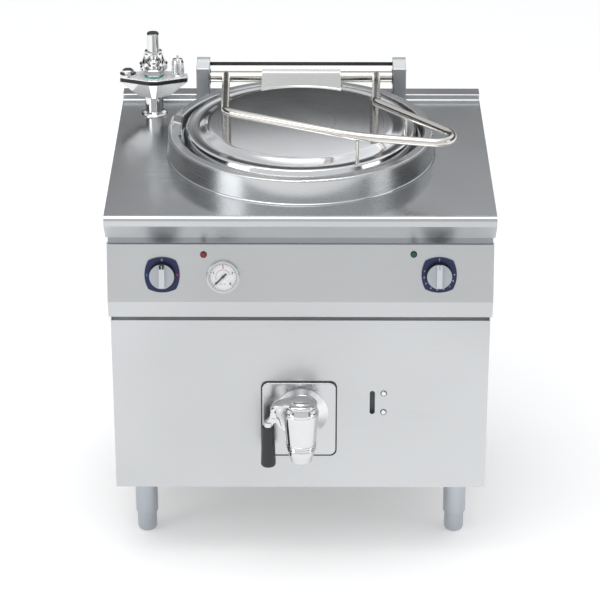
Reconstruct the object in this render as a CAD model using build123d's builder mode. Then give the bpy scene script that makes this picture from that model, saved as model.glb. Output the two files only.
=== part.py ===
"""Steam jacketed boiling kettle: a round pan with a steam jacket, built into a square cabinet on four legs.

Millimetres, +Z up, front towards -Y.  The origin is on the floor, under the middle of the whole machine.
Every part is described in its closed, standing position: lid shut, drain tap shut, feet screwed in.
"""

from build123d import *
import math
import os

os.makedirs("parts", exist_ok=True)

# ---------------------------------------------------------------------------------------------------------
# Driving dimensions
# ---------------------------------------------------------------------------------------------------------
# Cabinet
width = 800.0  # across the worktop
body_depth = 676.0  # nose of the worktop to the back of the rear shelf
worktop_height = 850.0  # floor to worktop
cabinet_bottom = 180.0  # floor to the lower edge of the panels
sheet = 2.0  # pressed stainless sheet
weld_gap = 0.2  # left round a pipe that is welded into a hole
seat_gap = 0.3  # left between parts that rest on one another but come apart
running_fit = 0.05  # radial play of a shaft in its bearing

# Worktop front and rear
nose_height = 20.0
nose_radius = 10.0
fold_radius = 3.0  # outer radius of the other folds
hem_setback = 37.0  # nose to the hem of the sloping underside
hem_drop = 62.0  # worktop to that hem
shelf_setback = 637.0  # nose to the front of the raised rear shelf
shelf_rise = 13.0
rear_fold = 20.0  # height of the fold below the worktop level

# Control panel, set back from the nose
panel_top_setback = 57.0
panel_top_drop = 86.0
fold_setback = 32.0
fold_drop = 208.0
chin_setback = 41.0
chin_drop = 247.0
panel_rear_setback = 67.0  # plane where the control panel and the side panels meet
front_panel_setback = 65.0
front_panel_drop = 266.6
panel_return = 14.0  # depth of the folded edges of the lower panel

# Chassis
cross_channel = (8.0, 38.0)  # depth and height of the front cross channel
tube_size = 30.0
tube_wall = 2.0
leg_spread = 684.0  # between leg centres, left to right
front_leg_setback = 192.0
rear_leg_setback = 609.0
leg_radius = 24.75
foot_radius = 21.5
foot_height = 48.0  # visible below the leg sleeve
foot_insert = 60.0  # length of the foot hidden in the sleeve
leg_plate = 76.0
leg_plate_thickness = 4.0

# Pan, jacket and ring
pan_setback = 347.0  # nose to the centre of the pan
pan_radius = 232.0
pan_wall = 3.0
pan_floor = 400.0  # height of the pan's floor above the ground
pan_knuckle = 60.0
pan_rim_rise = 55.6  # worktop to the top of the pan's rim
rim_width = 3.5
rim_height = 5.0
jacket_radius = 255.0
jacket_wall = 3.0
jacket_floor = 310.0
jacket_knuckle = 45.0
jacket_top_drop = 28.0  # worktop to the weld of the jacket on the pan
ring_base_radius = 285.5
ring_top_radius = 283.5
ring_inner_radius = 261.0
ring_rise = 53.0
gutter_drop = 25.0  # ring top to the gutter inside it

# Lid
lid_radius = 246.0
lid_skirt = 16.0
lid_shoulder_radius = 218.0
lid_crown_radius = 197.0
lid_step = 6.0
lid_dome = 5.0
lid_sheet = 2.0

# Lid handle, a single bent tube
handle_radius = 9.0
handle_wall = 1.5
handle_rise = 117.0  # worktop to the centre line of the level part
handle_spread = 168.5  # centre plane of the machine to a leg of the handle at the hinge
left_bend = (-159.0, 280.0)  # right of centre, back from the nose
front_bend = (116.0, 145.0)
tip_corner = (370.0, 95.0)
right_bend = (158.5, 335.0)
left_bend_radius = 36.0
front_bend_radius = 300.0
tip_radius = 34.0
right_bend_radius = 32.0
stud_radius = 3.4
stud_places = [(117.0, 145.6), (221.0, 273.0)]

# Lid hinge
hinge_setback = 649.0
hinge_rise = 51.0
hinge_tube_radius = 12.5
hinge_tube_wall = 2.0
sleeve_radius = 16.0
sleeve_length = 176.0
post_spread = 438.5  # between post centres
post_width = 29.5
post_front_setback = 614.0
post_rise = 83.0
post_lip = 5.0
hinge_engagement = 18.0  # length of tube end held in each post
bush_wall = 2.0
strap_height = 7.5
strap_rise = 68.5

# Water inlet hood on the ring
hood_size = (24.0, 41.0, 32.0)
hood_place = (-264.0, 323.5)  # right of centre, back from the nose

# Safety valve group
valve_place = (-325.0, 561.0)
rosette_radius = 30.3
column_radius = 20.5
manifold_length = 150.0
manifold_width = 76.0
manifold_bottom_rise = 43.0
manifold_edge_rise = 78.0
manifold_top_rise = 88.0
gasket_radius = 20.8
nut_across_flats = 38.0
valve_cap_radius = 13.7
valve_total_rise = 188.0
bell_radius = 31.0
breather_offset = 53.0
breather_radius = 14.2
plug_offset = -57.0
plug_radius = 18.0

# Drain tap
tap_x = 2.0
tap_reach = 56.0  # lower panel to the vertical axis of the tap
drain_height = 366.0
drain_radius = 21.0
drain_wall = 2.0
escutcheon_size = (157.0, 175.0)
escutcheon_place = (-3.0, 349.0)
escutcheon_corner = 13.5
escutcheon_thickness = 4.0
tap_flange_radius = 57.0
tap_flange_depth = 14.0
tap_neck_radius = 26.0
tap_top = 396.0
tap_top_radius = 37.0
tap_ring_height = 318.0
tap_ring_radius = 31.0
spout_bottom = 281.0
spout_radius = 23.0
plug_top_radius = 24.5
plug_bottom_radius = 20.5
plug_bottom = 330.0
bonnet_height = 16.0
bonnet_radius = 35.0
stem_radius = 10.0
hub_radius = 34.0
hub_height = 12.0
lever_end = -60.0  # end of the lever arm, left of the tap axis
lever_end_radius = 11.0
pin_place = (-59.0, 381.0)  # left of the tap axis, above the floor
pin_radius = 3.0
knuckle_radius = 7.0
knuckle_width = 12.4
ear_thickness = 4.0
shank_place = -70.0  # centre line of the shank and grip, left of the tap axis
shank_radius = 9.5
grip_top = 361.0
grip_length = 94.0
grip_top_radius = 13.0
grip_bottom_radius = 16.0

# Controls, measured from the centre plane and down from the worktop
left_knob_place = (-286.0, 150.0)
right_knob_place = (287.0, 149.5)
bezel_corner = (29.0, 30.0)
bezel_bulge = (36.5, 37.5)
bezel_thickness = 3.0
knob_radius = 25.4
knob_skirt_radius = 27.5
knob_height = 16.0
grip_bar_width = 12.6
grip_bar_height = 5.0
knob_shaft_radius = 3.0
knob_shaft_length = 28.0
gauge_place = (-160.0, 154.0)
gauge_radius = 34.5
gauge_cup_radius = 30.0
gauge_depth = 24.0
lamp_radius = 7.0
red_lamp_place = (-200.0, 108.0)
green_lamp_place = (234.0, 107.0)

# Sight slot in the lower panel
slot_place = (153.0, 462.0)
slot_size = (11.0, 56.0)
sight_screw_x = 177.0
sight_screw_drops = (440.0, 485.0)
sight_screw_radius = 5.5

# Water and steam pipes inside
water_pipe_radius = 8.0
steam_pipe_radius = 10.5
pipe_wall = 1.5

# ---------------------------------------------------------------------------------------------------------
# Places worked out from the driving dimensions
# ---------------------------------------------------------------------------------------------------------
tap_overhang = tap_reach + tap_top_radius - front_panel_setback  # how far the tap stands before the nose
nose_y = (tap_overhang - body_depth) / 2
back_y = nose_y + body_depth
half_width = width / 2
skin_x = half_width - sheet  # outer face of the side panels
inner_x = skin_x - sheet  # inner face of the side panels
worktop_z = worktop_height
panel_back_y = nose_y + panel_rear_setback
front_y = nose_y + front_panel_setback
front_top_z = worktop_z - front_panel_drop
chassis_front_y = front_y + sheet + panel_return
chassis_back_y = back_y - 2 * sheet
pan_y = nose_y + pan_setback
pan_axis = Axis((0, pan_y, 0), (0, 0, 1))
pan_section = Plane.XZ.offset(-pan_y)
rim_z = worktop_z + pan_rim_rise
ring_z = worktop_z + ring_rise
pan_outer = pan_radius + pan_wall
lid_z = rim_z + seat_gap  # underside of the lid's flange
lid_top_z = lid_z + lid_sheet
hinge_y = nose_y + hinge_setback
hinge_z = worktop_z + hinge_rise
tap_y = front_y - tap_reach
leg_y = (nose_y + front_leg_setback, nose_y + rear_leg_setback)
drain_bore = drain_radius - drain_wall


def keep(piece, name):
    """Label a finished piece and write it as its own STEP file."""
    piece.part.label = name
    export_step(piece.part, f"parts/{name}.step")


def bent_section(points, radii, thickness, side):
    """Section of a bent sheet: the points run along its skin and the metal lies to the given side."""
    with BuildSketch() as section:
        with BuildLine():
            skin = FilletPolyline(*points, radius=radii)
            offset(skin, amount=thickness, side=side)
        make_face()
    return section.sketch


def pipe(points, bend, radius, wall):
    """A bent round pipe through the given corner points, open at both ends."""
    with BuildPart() as run:
        with BuildLine() as route:
            if len(points) > 2:
                FilletPolyline(*points, radius=bend)
            else:
                Line(*points)
        start = route.line ^ 0
        with BuildSketch(start):
            Circle(radius)
            Circle(radius - wall, mode=Mode.SUBTRACT)
        sweep(path=route.line)
    return run


# ---------------------------------------------------------------------------------------------------------
# Chassis: welded square tubes under and behind the panels
# ---------------------------------------------------------------------------------------------------------
rail_x = inner_x - tube_size / 2
frame_z = cabinet_bottom + tube_size / 2
frame_middle_y = (chassis_front_y + chassis_back_y) / 2
frame_length = chassis_back_y - chassis_front_y
cross_width = 2 * (rail_x - tube_size / 2)
cross_rails_y = (
    chassis_front_y + tube_size / 2,
    leg_y[0],
    leg_y[1],
)


def tube_face():
    """Cross-section of the square tube, on the current sketch."""
    Rectangle(tube_size, tube_size)
    Rectangle(tube_size - 2 * tube_wall, tube_size - 2 * tube_wall, mode=Mode.SUBTRACT)


with BuildPart() as base_frame:
    with BuildSketch(Plane.XZ.offset(-chassis_front_y)):
        with Locations((-rail_x, frame_z), (rail_x, frame_z)):
            tube_face()
    extrude(amount=-frame_length)
    with BuildSketch(Plane.YZ.offset(-cross_width / 2)):
        with Locations(*[(rail_y, frame_z) for rail_y in cross_rails_y]):
            tube_face()
    extrude(amount=cross_width)
keep(base_frame, "base_frame")

post_y = (chassis_front_y + tube_size / 2, chassis_back_y - tube_size / 2)
upright_length = worktop_z - sheet - cabinet_bottom - tube_size
top_rail_z = worktop_z - sheet - tube_size / 2
cross_channel_z = (front_top_z + worktop_z - chin_drop) / 2  # behind the joint between the two front panels
with BuildPart() as upper_frame:
    with BuildSketch(Plane.XY.offset(cabinet_bottom + tube_size)):
        with Locations((0, sum(post_y) / 2)):
            with GridLocations(2 * rail_x, post_y[1] - post_y[0], 2, 2):
                tube_face()
    extrude(amount=upright_length)
    with BuildSketch(Plane.XZ.offset(-chassis_front_y - tube_size)):
        with Locations((-rail_x, top_rail_z), (rail_x, top_rail_z)):
            tube_face()
    extrude(amount=-(frame_length - 2 * tube_size))
    with BuildSketch(Plane.YZ.offset(-cross_width / 2)):
        with Locations((post_y[1], top_rail_z)):
            tube_face()
        with Locations((chassis_front_y + cross_channel[0] / 2, cross_channel_z)):
            Rectangle(*cross_channel)
        with Locations((chassis_front_y + cross_channel[0] / 2 + sheet, cross_channel_z)):
            Rectangle(cross_channel[0], cross_channel[1] - 2 * sheet, mode=Mode.SUBTRACT)
    extrude(amount=cross_width)
keep(upper_frame, "upper_frame")

# ---------------------------------------------------------------------------------------------------------
# Legs: a sleeve bolted under each corner, with a foot that screws in and out
# ---------------------------------------------------------------------------------------------------------
leg_places = [(x, y) for y in leg_y for x in (-leg_spread / 2, leg_spread / 2)]
sleeve_top = cabinet_bottom - leg_plate_thickness
with BuildPart() as leg_sleeves:
    with BuildSketch(Plane.XY.offset(foot_height)):
        with Locations(*leg_places):
            Circle(leg_radius)
    extrude(amount=sleeve_top - foot_height)
    with BuildSketch(Plane.XY.offset(sleeve_top)):
        with Locations(*leg_places):
            RectangleRounded(leg_plate, leg_plate, 8)
    extrude(amount=leg_plate_thickness)
    with BuildSketch(Plane.XY.offset(foot_height)):
        with Locations(*leg_places):
            Circle(foot_radius + seat_gap)
    extrude(amount=foot_insert + 4, mode=Mode.SUBTRACT)
    mouth_edges = leg_sleeves.edges().filter_by(GeomType.CIRCLE).group_by(Axis.Z)[0]
    chamfer(mouth_edges.filter_by(lambda edge: edge.radius > foot_radius + 1), 1.2)
keep(leg_sleeves, "leg_sleeves")

foot_names = ("foot_front_left", "foot_front_right", "foot_rear_left", "foot_rear_right")
for foot_name, (foot_x, foot_y) in zip(foot_names, leg_places):
    foot_section = Plane.XZ.offset(-foot_y)
    foot_axis = Axis((foot_x, foot_y, 0), (0, 0, 1))
    with BuildPart() as foot:
        with BuildSketch(foot_section):
            with BuildLine():
                Polyline(
                    (foot_x, 0),
                    (foot_x + foot_radius - 7, 0),
                    (foot_x + foot_radius - 2, 3.5),
                    (foot_x + foot_radius, 9),
                    (foot_x + foot_radius, foot_height + foot_insert),
                    (foot_x, foot_height + foot_insert),
                    close=True,
                )
            make_face()
        revolve(axis=foot_axis)
    keep(foot, foot_name)

# ---------------------------------------------------------------------------------------------------------
# Worktop: one pressed sheet with a bullnose front, a sloping underside and a raised rear shelf
# ---------------------------------------------------------------------------------------------------------
hem = (nose_y + hem_setback, worktop_z - hem_drop)
nose_low = (nose_y, worktop_z - nose_height)
nose_high = (nose_y, worktop_z)
shelf_y = nose_y + shelf_setback
shelf_z = worktop_z + shelf_rise
fold_bottom_z = worktop_z - rear_fold
worktop_points = [
    hem,
    nose_low,
    nose_high,
    (shelf_y, worktop_z),
    (shelf_y, shelf_z),
    (back_y, shelf_z),
    (back_y, fold_bottom_z),
]
worktop_radii = [fold_radius, nose_radius, fold_radius, fold_radius, fold_radius]
worktop_hole_radius = ring_top_radius - 3
column_hole_radius = 14.0
valve_x = valve_place[0]
valve_y = nose_y + valve_place[1]

with BuildPart() as worktop:
    with BuildSketch(Plane.YZ.offset(-half_width)):
        add(bent_section(worktop_points, worktop_radii, sheet, Side.RIGHT))
    extrude(amount=width)
    with BuildSketch(Plane.YZ.offset(-half_width), Plane.YZ.offset(skin_x)):
        with BuildLine():
            FilletPolyline(*worktop_points, radius=worktop_radii)
            Polyline(
                (back_y, fold_bottom_z),
                (panel_back_y, fold_bottom_z),
                (panel_back_y, hem[1]),
                hem,
            )
        make_face()
    extrude(amount=sheet)
    with BuildSketch(Plane.XY.offset(worktop_z)):
        with Locations((0, pan_y)):
            Circle(worktop_hole_radius)
        with Locations((valve_x, valve_y)):
            Circle(column_hole_radius)
    extrude(amount=-nose_height, mode=Mode.SUBTRACT)
keep(worktop, "worktop")

# Folded strip that closes the cabinet between the worktop's hem and the control panel
panel_top = (nose_y + panel_top_setback, worktop_z - panel_top_drop)
strip_z = panel_top[1] + seat_gap
strip_points = [
    (hem[0] + 3, hem[1] - 1),
    (panel_top[0] + 1, strip_z),
    (chassis_front_y, strip_z),
]
with BuildPart() as head_strip:
    with BuildSketch(Plane.YZ.offset(-inner_x)):
        add(bent_section(strip_points, 2.5, sheet, Side.LEFT))
    extrude(amount=2 * inner_x)
keep(head_strip, "head_strip")

# ---------------------------------------------------------------------------------------------------------
# Control panel: a folded tray that leans forward to its fold and back again at the chin
# ---------------------------------------------------------------------------------------------------------
panel_fold = (nose_y + fold_setback, worktop_z - fold_drop)
panel_chin = (nose_y + chin_setback, worktop_z - chin_drop)
lean = math.atan2(panel_top[0] - panel_fold[0], panel_top[1] - panel_fold[1])
panel_normal = Vector(0, -math.cos(lean), math.sin(lean))


def on_panel(place, height=0.0):
    """Plane on the leaning face, facing out, at a distance from the centre and a drop from the worktop."""
    drop_share = (place[1] - panel_top_drop) / (fold_drop - panel_top_drop)
    face_y = panel_top[0] + (panel_fold[0] - panel_top[0]) * drop_share
    origin = Vector(place[0], face_y, worktop_z - place[1])
    return Plane(origin=origin, x_dir=(1, 0, 0), z_dir=panel_normal).offset(height)


shaft_hole_radius = 6.0
lamp_body_radius = 5.5
with BuildPart() as control_panel:
    with BuildSketch(Plane.YZ.offset(-half_width)):
        with BuildLine():
            FilletPolyline(
                (panel_back_y, panel_top[1]),
                panel_top,
                panel_fold,
                panel_chin,
                (panel_back_y, panel_chin[1]),
                radius=[2.5, 4, 2.5],
            )
            Line((panel_back_y, panel_chin[1]), (panel_back_y, panel_top[1]))
        make_face()
    extrude(amount=width)
    offset(amount=-sheet, openings=control_panel.faces().sort_by(Axis.Y)[-1])
    for place in (left_knob_place, right_knob_place):
        with Locations(on_panel(place)):
            Hole(shaft_hole_radius, depth=3 * sheet)
    with Locations(on_panel(gauge_place)):
        Hole(gauge_cup_radius + weld_gap, depth=3 * sheet)
    for place in (red_lamp_place, green_lamp_place):
        with Locations(on_panel(place)):
            Hole(lamp_body_radius + weld_gap, depth=3 * sheet)
keep(control_panel, "control_panel")

# ---------------------------------------------------------------------------------------------------------
# Lower front panel, side panels and back panel
# ---------------------------------------------------------------------------------------------------------
slot_z = worktop_z - slot_place[1]
screw_places = [(sight_screw_x, worktop_z - drop) for drop in sight_screw_drops]
screw_shank_radius = 3.0
with BuildPart() as front_panel:
    with BuildSketch(Plane.XZ.offset(-front_y - sheet)):
        with Locations((0, (cabinet_bottom + front_top_z) / 2)):
            Rectangle(2 * skin_x, front_top_z - cabinet_bottom)
        with Locations((tap_x, drain_height)):
            Circle(drain_radius + 3, mode=Mode.SUBTRACT)
        with Locations((slot_place[0], slot_z)):
            SlotOverall(slot_size[1], slot_size[0], rotation=90, mode=Mode.SUBTRACT)
        with Locations(*screw_places):
            Circle(screw_shank_radius, mode=Mode.SUBTRACT)
    extrude(amount=sheet)
    with BuildSketch(Plane.XZ.offset(-front_y - sheet)):
        with Locations((0, (cabinet_bottom + front_top_z) / 2)):
            Rectangle(2 * inner_x, front_top_z - cabinet_bottom)
            Rectangle(2 * (inner_x - sheet), front_top_z - cabinet_bottom - 2 * sheet, mode=Mode.SUBTRACT)
    extrude(amount=-panel_return)
    outline = front_panel.edges().filter_by(Axis.Z).group_by(Axis.Y)[0].sort_by(Axis.X)
    fillet([outline[0], outline[-1]], 1.5)
keep(front_panel, "front_panel")

side_length = back_y - sheet - panel_back_y
with BuildPart() as side_panels:
    with BuildSketch(Plane.YZ.offset(-skin_x), Plane.YZ.offset(inner_x)):
        with Locations((panel_back_y + side_length / 2, (cabinet_bottom + worktop_z - sheet) / 2)):
            Rectangle(side_length, worktop_z - sheet - cabinet_bottom)
    extrude(amount=sheet)
keep(side_panels, "side_panels")

with BuildPart() as back_panel:
    with BuildSketch(Plane.XZ.offset(-chassis_back_y)):
        with Locations((0, (cabinet_bottom + worktop_z - sheet) / 2)):
            Rectangle(2 * inner_x, worktop_z - sheet - cabinet_bottom)
        with Locations((0, cabinet_bottom + 110)):
            with GridLocations(60, 14, 9, 4):
                SlotOverall(44, 5, mode=Mode.SUBTRACT)
    extrude(amount=-sheet)
keep(back_panel, "back_panel")

# ---------------------------------------------------------------------------------------------------------
# Pan, steam jacket and the ring that carries them on the worktop
# ---------------------------------------------------------------------------------------------------------
ring_gutter_z = ring_z - gutter_drop
ring_points = [
    (ring_base_radius, worktop_z),
    (ring_top_radius, ring_z),
    (ring_inner_radius, ring_z),
    (ring_inner_radius, ring_gutter_z),
    (pan_outer, ring_gutter_z - 2),
]
with BuildPart() as pan_ring:
    with BuildSketch(pan_section):
        add(bent_section(ring_points, [4, 4, 6], sheet, Side.LEFT))
    revolve(axis=pan_axis)
    split(bisect_by=Plane.XY.offset(worktop_z), keep=Keep.TOP)
keep(pan_ring, "pan_ring")

pan_points = [(0, pan_floor), (pan_radius, pan_floor), (pan_radius, rim_z)]
drain_drop_y = pan_y - 130.0  # where the drain leaves the pan's floor
with BuildPart() as inner_pan:
    with BuildSketch(pan_section):
        add(bent_section(pan_points, pan_knuckle, pan_wall, Side.RIGHT))
        with Locations((pan_outer + rim_width / 2 - 0.5, rim_z - rim_height / 2)):
            RectangleRounded(rim_width + 1, rim_height, 1.2)
    revolve(axis=pan_axis)
    with BuildSketch(Plane.XY.offset(pan_floor - 2 * pan_wall)):
        with Locations((tap_x, drain_drop_y)):
            Circle(drain_bore)
    extrude(amount=4 * pan_wall, mode=Mode.SUBTRACT)
keep(inner_pan, "inner_pan")

steam_port_z = worktop_z - 60.0
port_angle = math.atan2(valve_y - pan_y, valve_x)
port_direction = Vector(math.cos(port_angle), math.sin(port_angle), 0)
port_start = Vector(0, pan_y, steam_port_z) + port_direction * (jacket_radius - jacket_wall - 1)
heater_z = jacket_floor + 42.0
heater_y = pan_y + 67.0
stub_radius = 36.0
stub_end_x = jacket_radius + 38.0
gauge_pipe_drop = 164.0
gauge_pipe_radius = 3.0
jacket_top_z = worktop_z - jacket_top_drop
jacket_points = [
    (0, jacket_floor),
    (jacket_radius, jacket_floor),
    (jacket_radius, jacket_top_z),
    (pan_outer + weld_gap, jacket_top_z),
]
with BuildPart() as jacket:
    with BuildSketch(pan_section):
        add(bent_section(jacket_points, [jacket_knuckle, 6], jacket_wall, Side.LEFT))
    revolve(axis=pan_axis)
    with BuildSketch(Plane.YZ.offset(jacket_radius - 20)):
        with Locations((heater_y, heater_z)):
            Circle(stub_radius)
    extrude(amount=stub_end_x - jacket_radius + 20)
    with BuildSketch(Plane.YZ.offset(jacket_radius - 60)):
        with Locations((heater_y, heater_z)):
            Circle(stub_radius - jacket_wall)
    extrude(amount=stub_end_x - jacket_radius + 60, mode=Mode.SUBTRACT)
    with BuildSketch(Plane.XZ.offset(-pan_y)):
        with Locations((tap_x, drain_height)):
            Circle(drain_radius + weld_gap)
    extrude(amount=jacket_radius + 10, mode=Mode.SUBTRACT)
    with BuildSketch(Plane(origin=port_start, z_dir=port_direction)):
        Circle(steam_pipe_radius - pipe_wall)
    extrude(amount=20, both=True, mode=Mode.SUBTRACT)
    with BuildSketch(Plane.XZ.offset(-pan_y)):
        with Locations((gauge_place[0], worktop_z - gauge_pipe_drop)):
            Circle(1.5)
    extrude(amount=jacket_radius + 10, mode=Mode.SUBTRACT)
keep(jacket, "steam_jacket")

hairpin_end_x = -150.0
with BuildPart() as heating_elements:
    with BuildSketch(Plane.YZ.offset(stub_end_x)):
        with Locations((heater_y, heater_z)):
            Circle(stub_radius + 12)
    extrude(amount=8)
    with BuildSketch(Plane.YZ.offset(stub_end_x + 8)):
        with Locations((heater_y, heater_z)):
            with PolarLocations(stub_radius + 6, 6):
                RegularPolygon(5, 6)
    extrude(amount=4)
    for level in (-15, 0, 15):
        with BuildLine(Plane.XY.offset(heater_z + level)) as hairpin:
            Line((stub_end_x + 12, heater_y - 14), (hairpin_end_x, heater_y - 14))
            ThreePointArc(
                (hairpin_end_x, heater_y - 14),
                (hairpin_end_x - 14, heater_y),
                (hairpin_end_x, heater_y + 14),
            )
            Line((hairpin_end_x, heater_y + 14), (stub_end_x + 12, heater_y + 14))
        with BuildSketch(hairpin.line ^ 0):
            Circle(4.25)
        sweep(path=hairpin.line)
keep(heating_elements, "heating_elements")

# ---------------------------------------------------------------------------------------------------------
# Pipes inside the cabinet
# ---------------------------------------------------------------------------------------------------------
drain_bend = pan_floor - pan_wall - drain_height
drain_pipe = pipe(
    [
        (tap_x, drain_drop_y, pan_floor - pan_wall),
        (tap_x, drain_drop_y, drain_height),
        (tap_x, front_y - escutcheon_thickness - 2, drain_height),
    ],
    drain_bend - 1,
    drain_radius,
    drain_wall,
)
keep(drain_pipe, "drain_pipe")

column_bottom_z = worktop_z + 3.0
steam_pipe = pipe(
    [
        tuple(port_start + port_direction),
        (valve_x, valve_y, steam_port_z),
        (valve_x, valve_y, column_bottom_z),
    ],
    25,
    steam_pipe_radius,
    pipe_wall,
)
with BuildPart() as steam_pipe_fitted:
    add(steam_pipe.part)
    with BuildSketch(Plane.XY.offset(jacket_floor)):
        with Locations((0, pan_y)):
            Circle(jacket_radius)
    extrude(amount=jacket_top_z - jacket_floor, mode=Mode.SUBTRACT)
keep(steam_pipe_fitted, "steam_pipe")

water_valve_depth = 60.0
water_valve_size = 46.0
water_x = -340.0
water_drop_y = (200.0, 160.0)
water_level_z = (worktop_z - 146.0, worktop_z - 172.0)
water_valve_y = on_panel(left_knob_place, -45).origin.Y
water_valve_left = left_knob_place[0] - water_valve_size / 2
nipple_bottom_z = cabinet_bottom - 30.0
nipple_radius = 13.2
with BuildPart() as water_supply_pipes:
    for drop_y, level_z in zip(water_drop_y, water_level_z):
        with BuildLine() as supply_route:
            FilletPolyline(
                (water_x, drop_y, cabinet_bottom),
                (water_x, drop_y, level_z),
                (water_x, water_valve_y, level_z),
                (water_valve_left, water_valve_y, level_z),
                radius=20,
            )
        with BuildSketch(supply_route.line ^ 0):
            Circle(water_pipe_radius)
            Circle(water_pipe_radius - pipe_wall, mode=Mode.SUBTRACT)
        sweep(path=supply_route.line)
        with BuildSketch(Plane.XY.offset(nipple_bottom_z)):
            with Locations((water_x, drop_y)):
                Circle(nipple_radius)
                Circle(water_pipe_radius - pipe_wall, mode=Mode.SUBTRACT)
        extrude(amount=cabinet_bottom - nipple_bottom_z + 6)
        with BuildSketch(Plane.XY.offset(cabinet_bottom)):
            with Locations((water_x, drop_y)):
                RegularPolygon(nipple_radius + 4, 6)
                Circle(water_pipe_radius - pipe_wall, mode=Mode.SUBTRACT)
        extrude(amount=6)
keep(water_supply_pipes, "water_supply_pipes")

hood_x = hood_place[0]
hood_y = nose_y + hood_place[1]
fill_x = hood_x - 7.5
fill_radius = 6.0
fill_level_z = worktop_z - 50.0
water_valve_top = on_panel(left_knob_place, -45).offset(0)
fill_start = water_valve_top.origin + water_valve_top.y_dir * (water_valve_size / 2)
fill_bottom_z = fill_start.Z + fill_radius * math.tan(lean) + seat_gap
fill_pipe = pipe(
    [
        (fill_x, fill_start.Y, fill_bottom_z),
        (fill_x, fill_start.Y, fill_level_z),
        (fill_x, hood_y, fill_level_z),
        (fill_x, hood_y, ring_z - sheet),
    ],
    16,
    fill_radius,
    pipe_wall,
)

gauge_plane = on_panel(gauge_place)
gauge_pipe_z = worktop_z - gauge_pipe_drop
gauge_pipe_start_y = gauge_plane.offset(-gauge_depth).origin.Y + 1.2
jacket_face_y = pan_y - math.sqrt(jacket_radius**2 - gauge_place[0] ** 2)
with BuildPart() as thin_pipes:
    with BuildSketch(Plane.XZ.offset(-gauge_pipe_start_y)):
        with Locations((gauge_place[0], gauge_pipe_z)):
            Circle(gauge_pipe_radius)
            Circle(1.5, mode=Mode.SUBTRACT)
    extrude(amount=-(jacket_face_y - gauge_pipe_start_y + 4))
    with BuildSketch(Plane.XY.offset(jacket_floor)):
        with Locations((0, pan_y)):
            Circle(jacket_radius)
    extrude(amount=jacket_top_z - jacket_floor, mode=Mode.SUBTRACT)
    add(fill_pipe.part)
keep(thin_pipes, "fill_and_gauge_pipes")

# ---------------------------------------------------------------------------------------------------------
# Water inlet hood: a pressed box with a sloping top, open towards the pan
# ---------------------------------------------------------------------------------------------------------
hood_wall = 2.0
with BuildPart() as water_hood:
    with BuildSketch(Plane.XZ.offset(-hood_y - hood_size[1] / 2)):
        with BuildLine():
            Polyline(
                (hood_x - hood_size[0] / 2, ring_z),
                (hood_x - hood_size[0] / 2, ring_z + hood_size[2] - 8),
                (hood_x - hood_size[0] / 2 + 7, ring_z + hood_size[2]),
                (hood_x + hood_size[0] / 2, ring_z + hood_size[2] - 5),
                (hood_x + hood_size[0] / 2, ring_z),
                close=True,
            )
        make_face()
    extrude(amount=hood_size[1])
    long_edges = water_hood.edges().filter_by(Axis.Y).group_by(Axis.Z)[1:]
    fillet([edge for level in long_edges for edge in level], 3)
    fillet(water_hood.edges().filter_by(Axis.Z), 3)
    offset(amount=-hood_wall, openings=water_hood.faces().sort_by(Axis.Z)[0])
    with BuildSketch(Plane.YZ.offset(hood_x)):
        with Locations((hood_y, ring_z + 10)):
            Rectangle(hood_size[1] - 14, 12)
    extrude(amount=hood_size[0], mode=Mode.SUBTRACT)
keep(water_hood, "water_inlet_hood")

# ---------------------------------------------------------------------------------------------------------
# Lid hinge: two posts, a cross strap, bushes and the hinge tube
# ---------------------------------------------------------------------------------------------------------
post_y_front = nose_y + post_front_setback
post_top_z = worktop_z + post_rise
bush_outer = hinge_tube_radius + running_fit + bush_wall
post_inner_x = post_spread / 2 - post_width / 2
strap_y = back_y - 4.0
with BuildPart() as hinge_posts:
    for side in (-1, 1):
        with BuildSketch(Plane.YZ.offset(side * post_spread / 2)):
            with BuildLine():
                Polyline(
                    (post_y_front, worktop_z),
                    (post_y_front, post_top_z),
                    (back_y - sheet, post_top_z),
                    (back_y - sheet, post_top_z + post_lip),
                    (back_y, post_top_z + post_lip),
                    (back_y, shelf_z),
                    (shelf_y - fold_radius - seat_gap, shelf_z),
                    (shelf_y - fold_radius - seat_gap, worktop_z),
                    close=True,
                )
            make_face()
        extrude(amount=post_width / 2, both=True)
    fillet(hinge_posts.edges().filter_by(Axis.Z).group_by(Axis.Y)[0], 2.5)
    fillet(hinge_posts.edges().filter_by(Axis.X).group_by(Axis.Y)[0].sort_by(Axis.Z)[-2:], 2)
    for side in (-1, 1):
        with BuildSketch(Plane.YZ.offset(side * post_inner_x)):
            with Locations((hinge_y, hinge_z)):
                Circle(bush_outer)
        extrude(amount=side * (hinge_engagement + 2), mode=Mode.SUBTRACT)
    with BuildSketch(Plane.YZ.offset(-post_inner_x)):
        with Locations((strap_y + sheet, worktop_z + strap_rise + strap_height / 2)):
            Rectangle(sheet + 1, strap_height)
    extrude(amount=2 * post_inner_x)
keep(hinge_posts, "hinge_posts")

with BuildPart() as hinge_bushes:
    for side in (-1, 1):
        with BuildSketch(Plane.YZ.offset(side * post_inner_x)):
            with Locations((hinge_y, hinge_z)):
                Circle(bush_outer)
                Circle(hinge_tube_radius + running_fit, mode=Mode.SUBTRACT)
        extrude(amount=side * hinge_engagement)
        with BuildSketch(Plane.YZ.offset(side * (post_inner_x - 1.5))):
            with Locations((hinge_y, hinge_z)):
                Circle(bush_outer + 2.5)
                Circle(hinge_tube_radius + running_fit, mode=Mode.SUBTRACT)
        extrude(amount=side * 1.5)
keep(hinge_bushes, "hinge_bushes")

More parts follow.
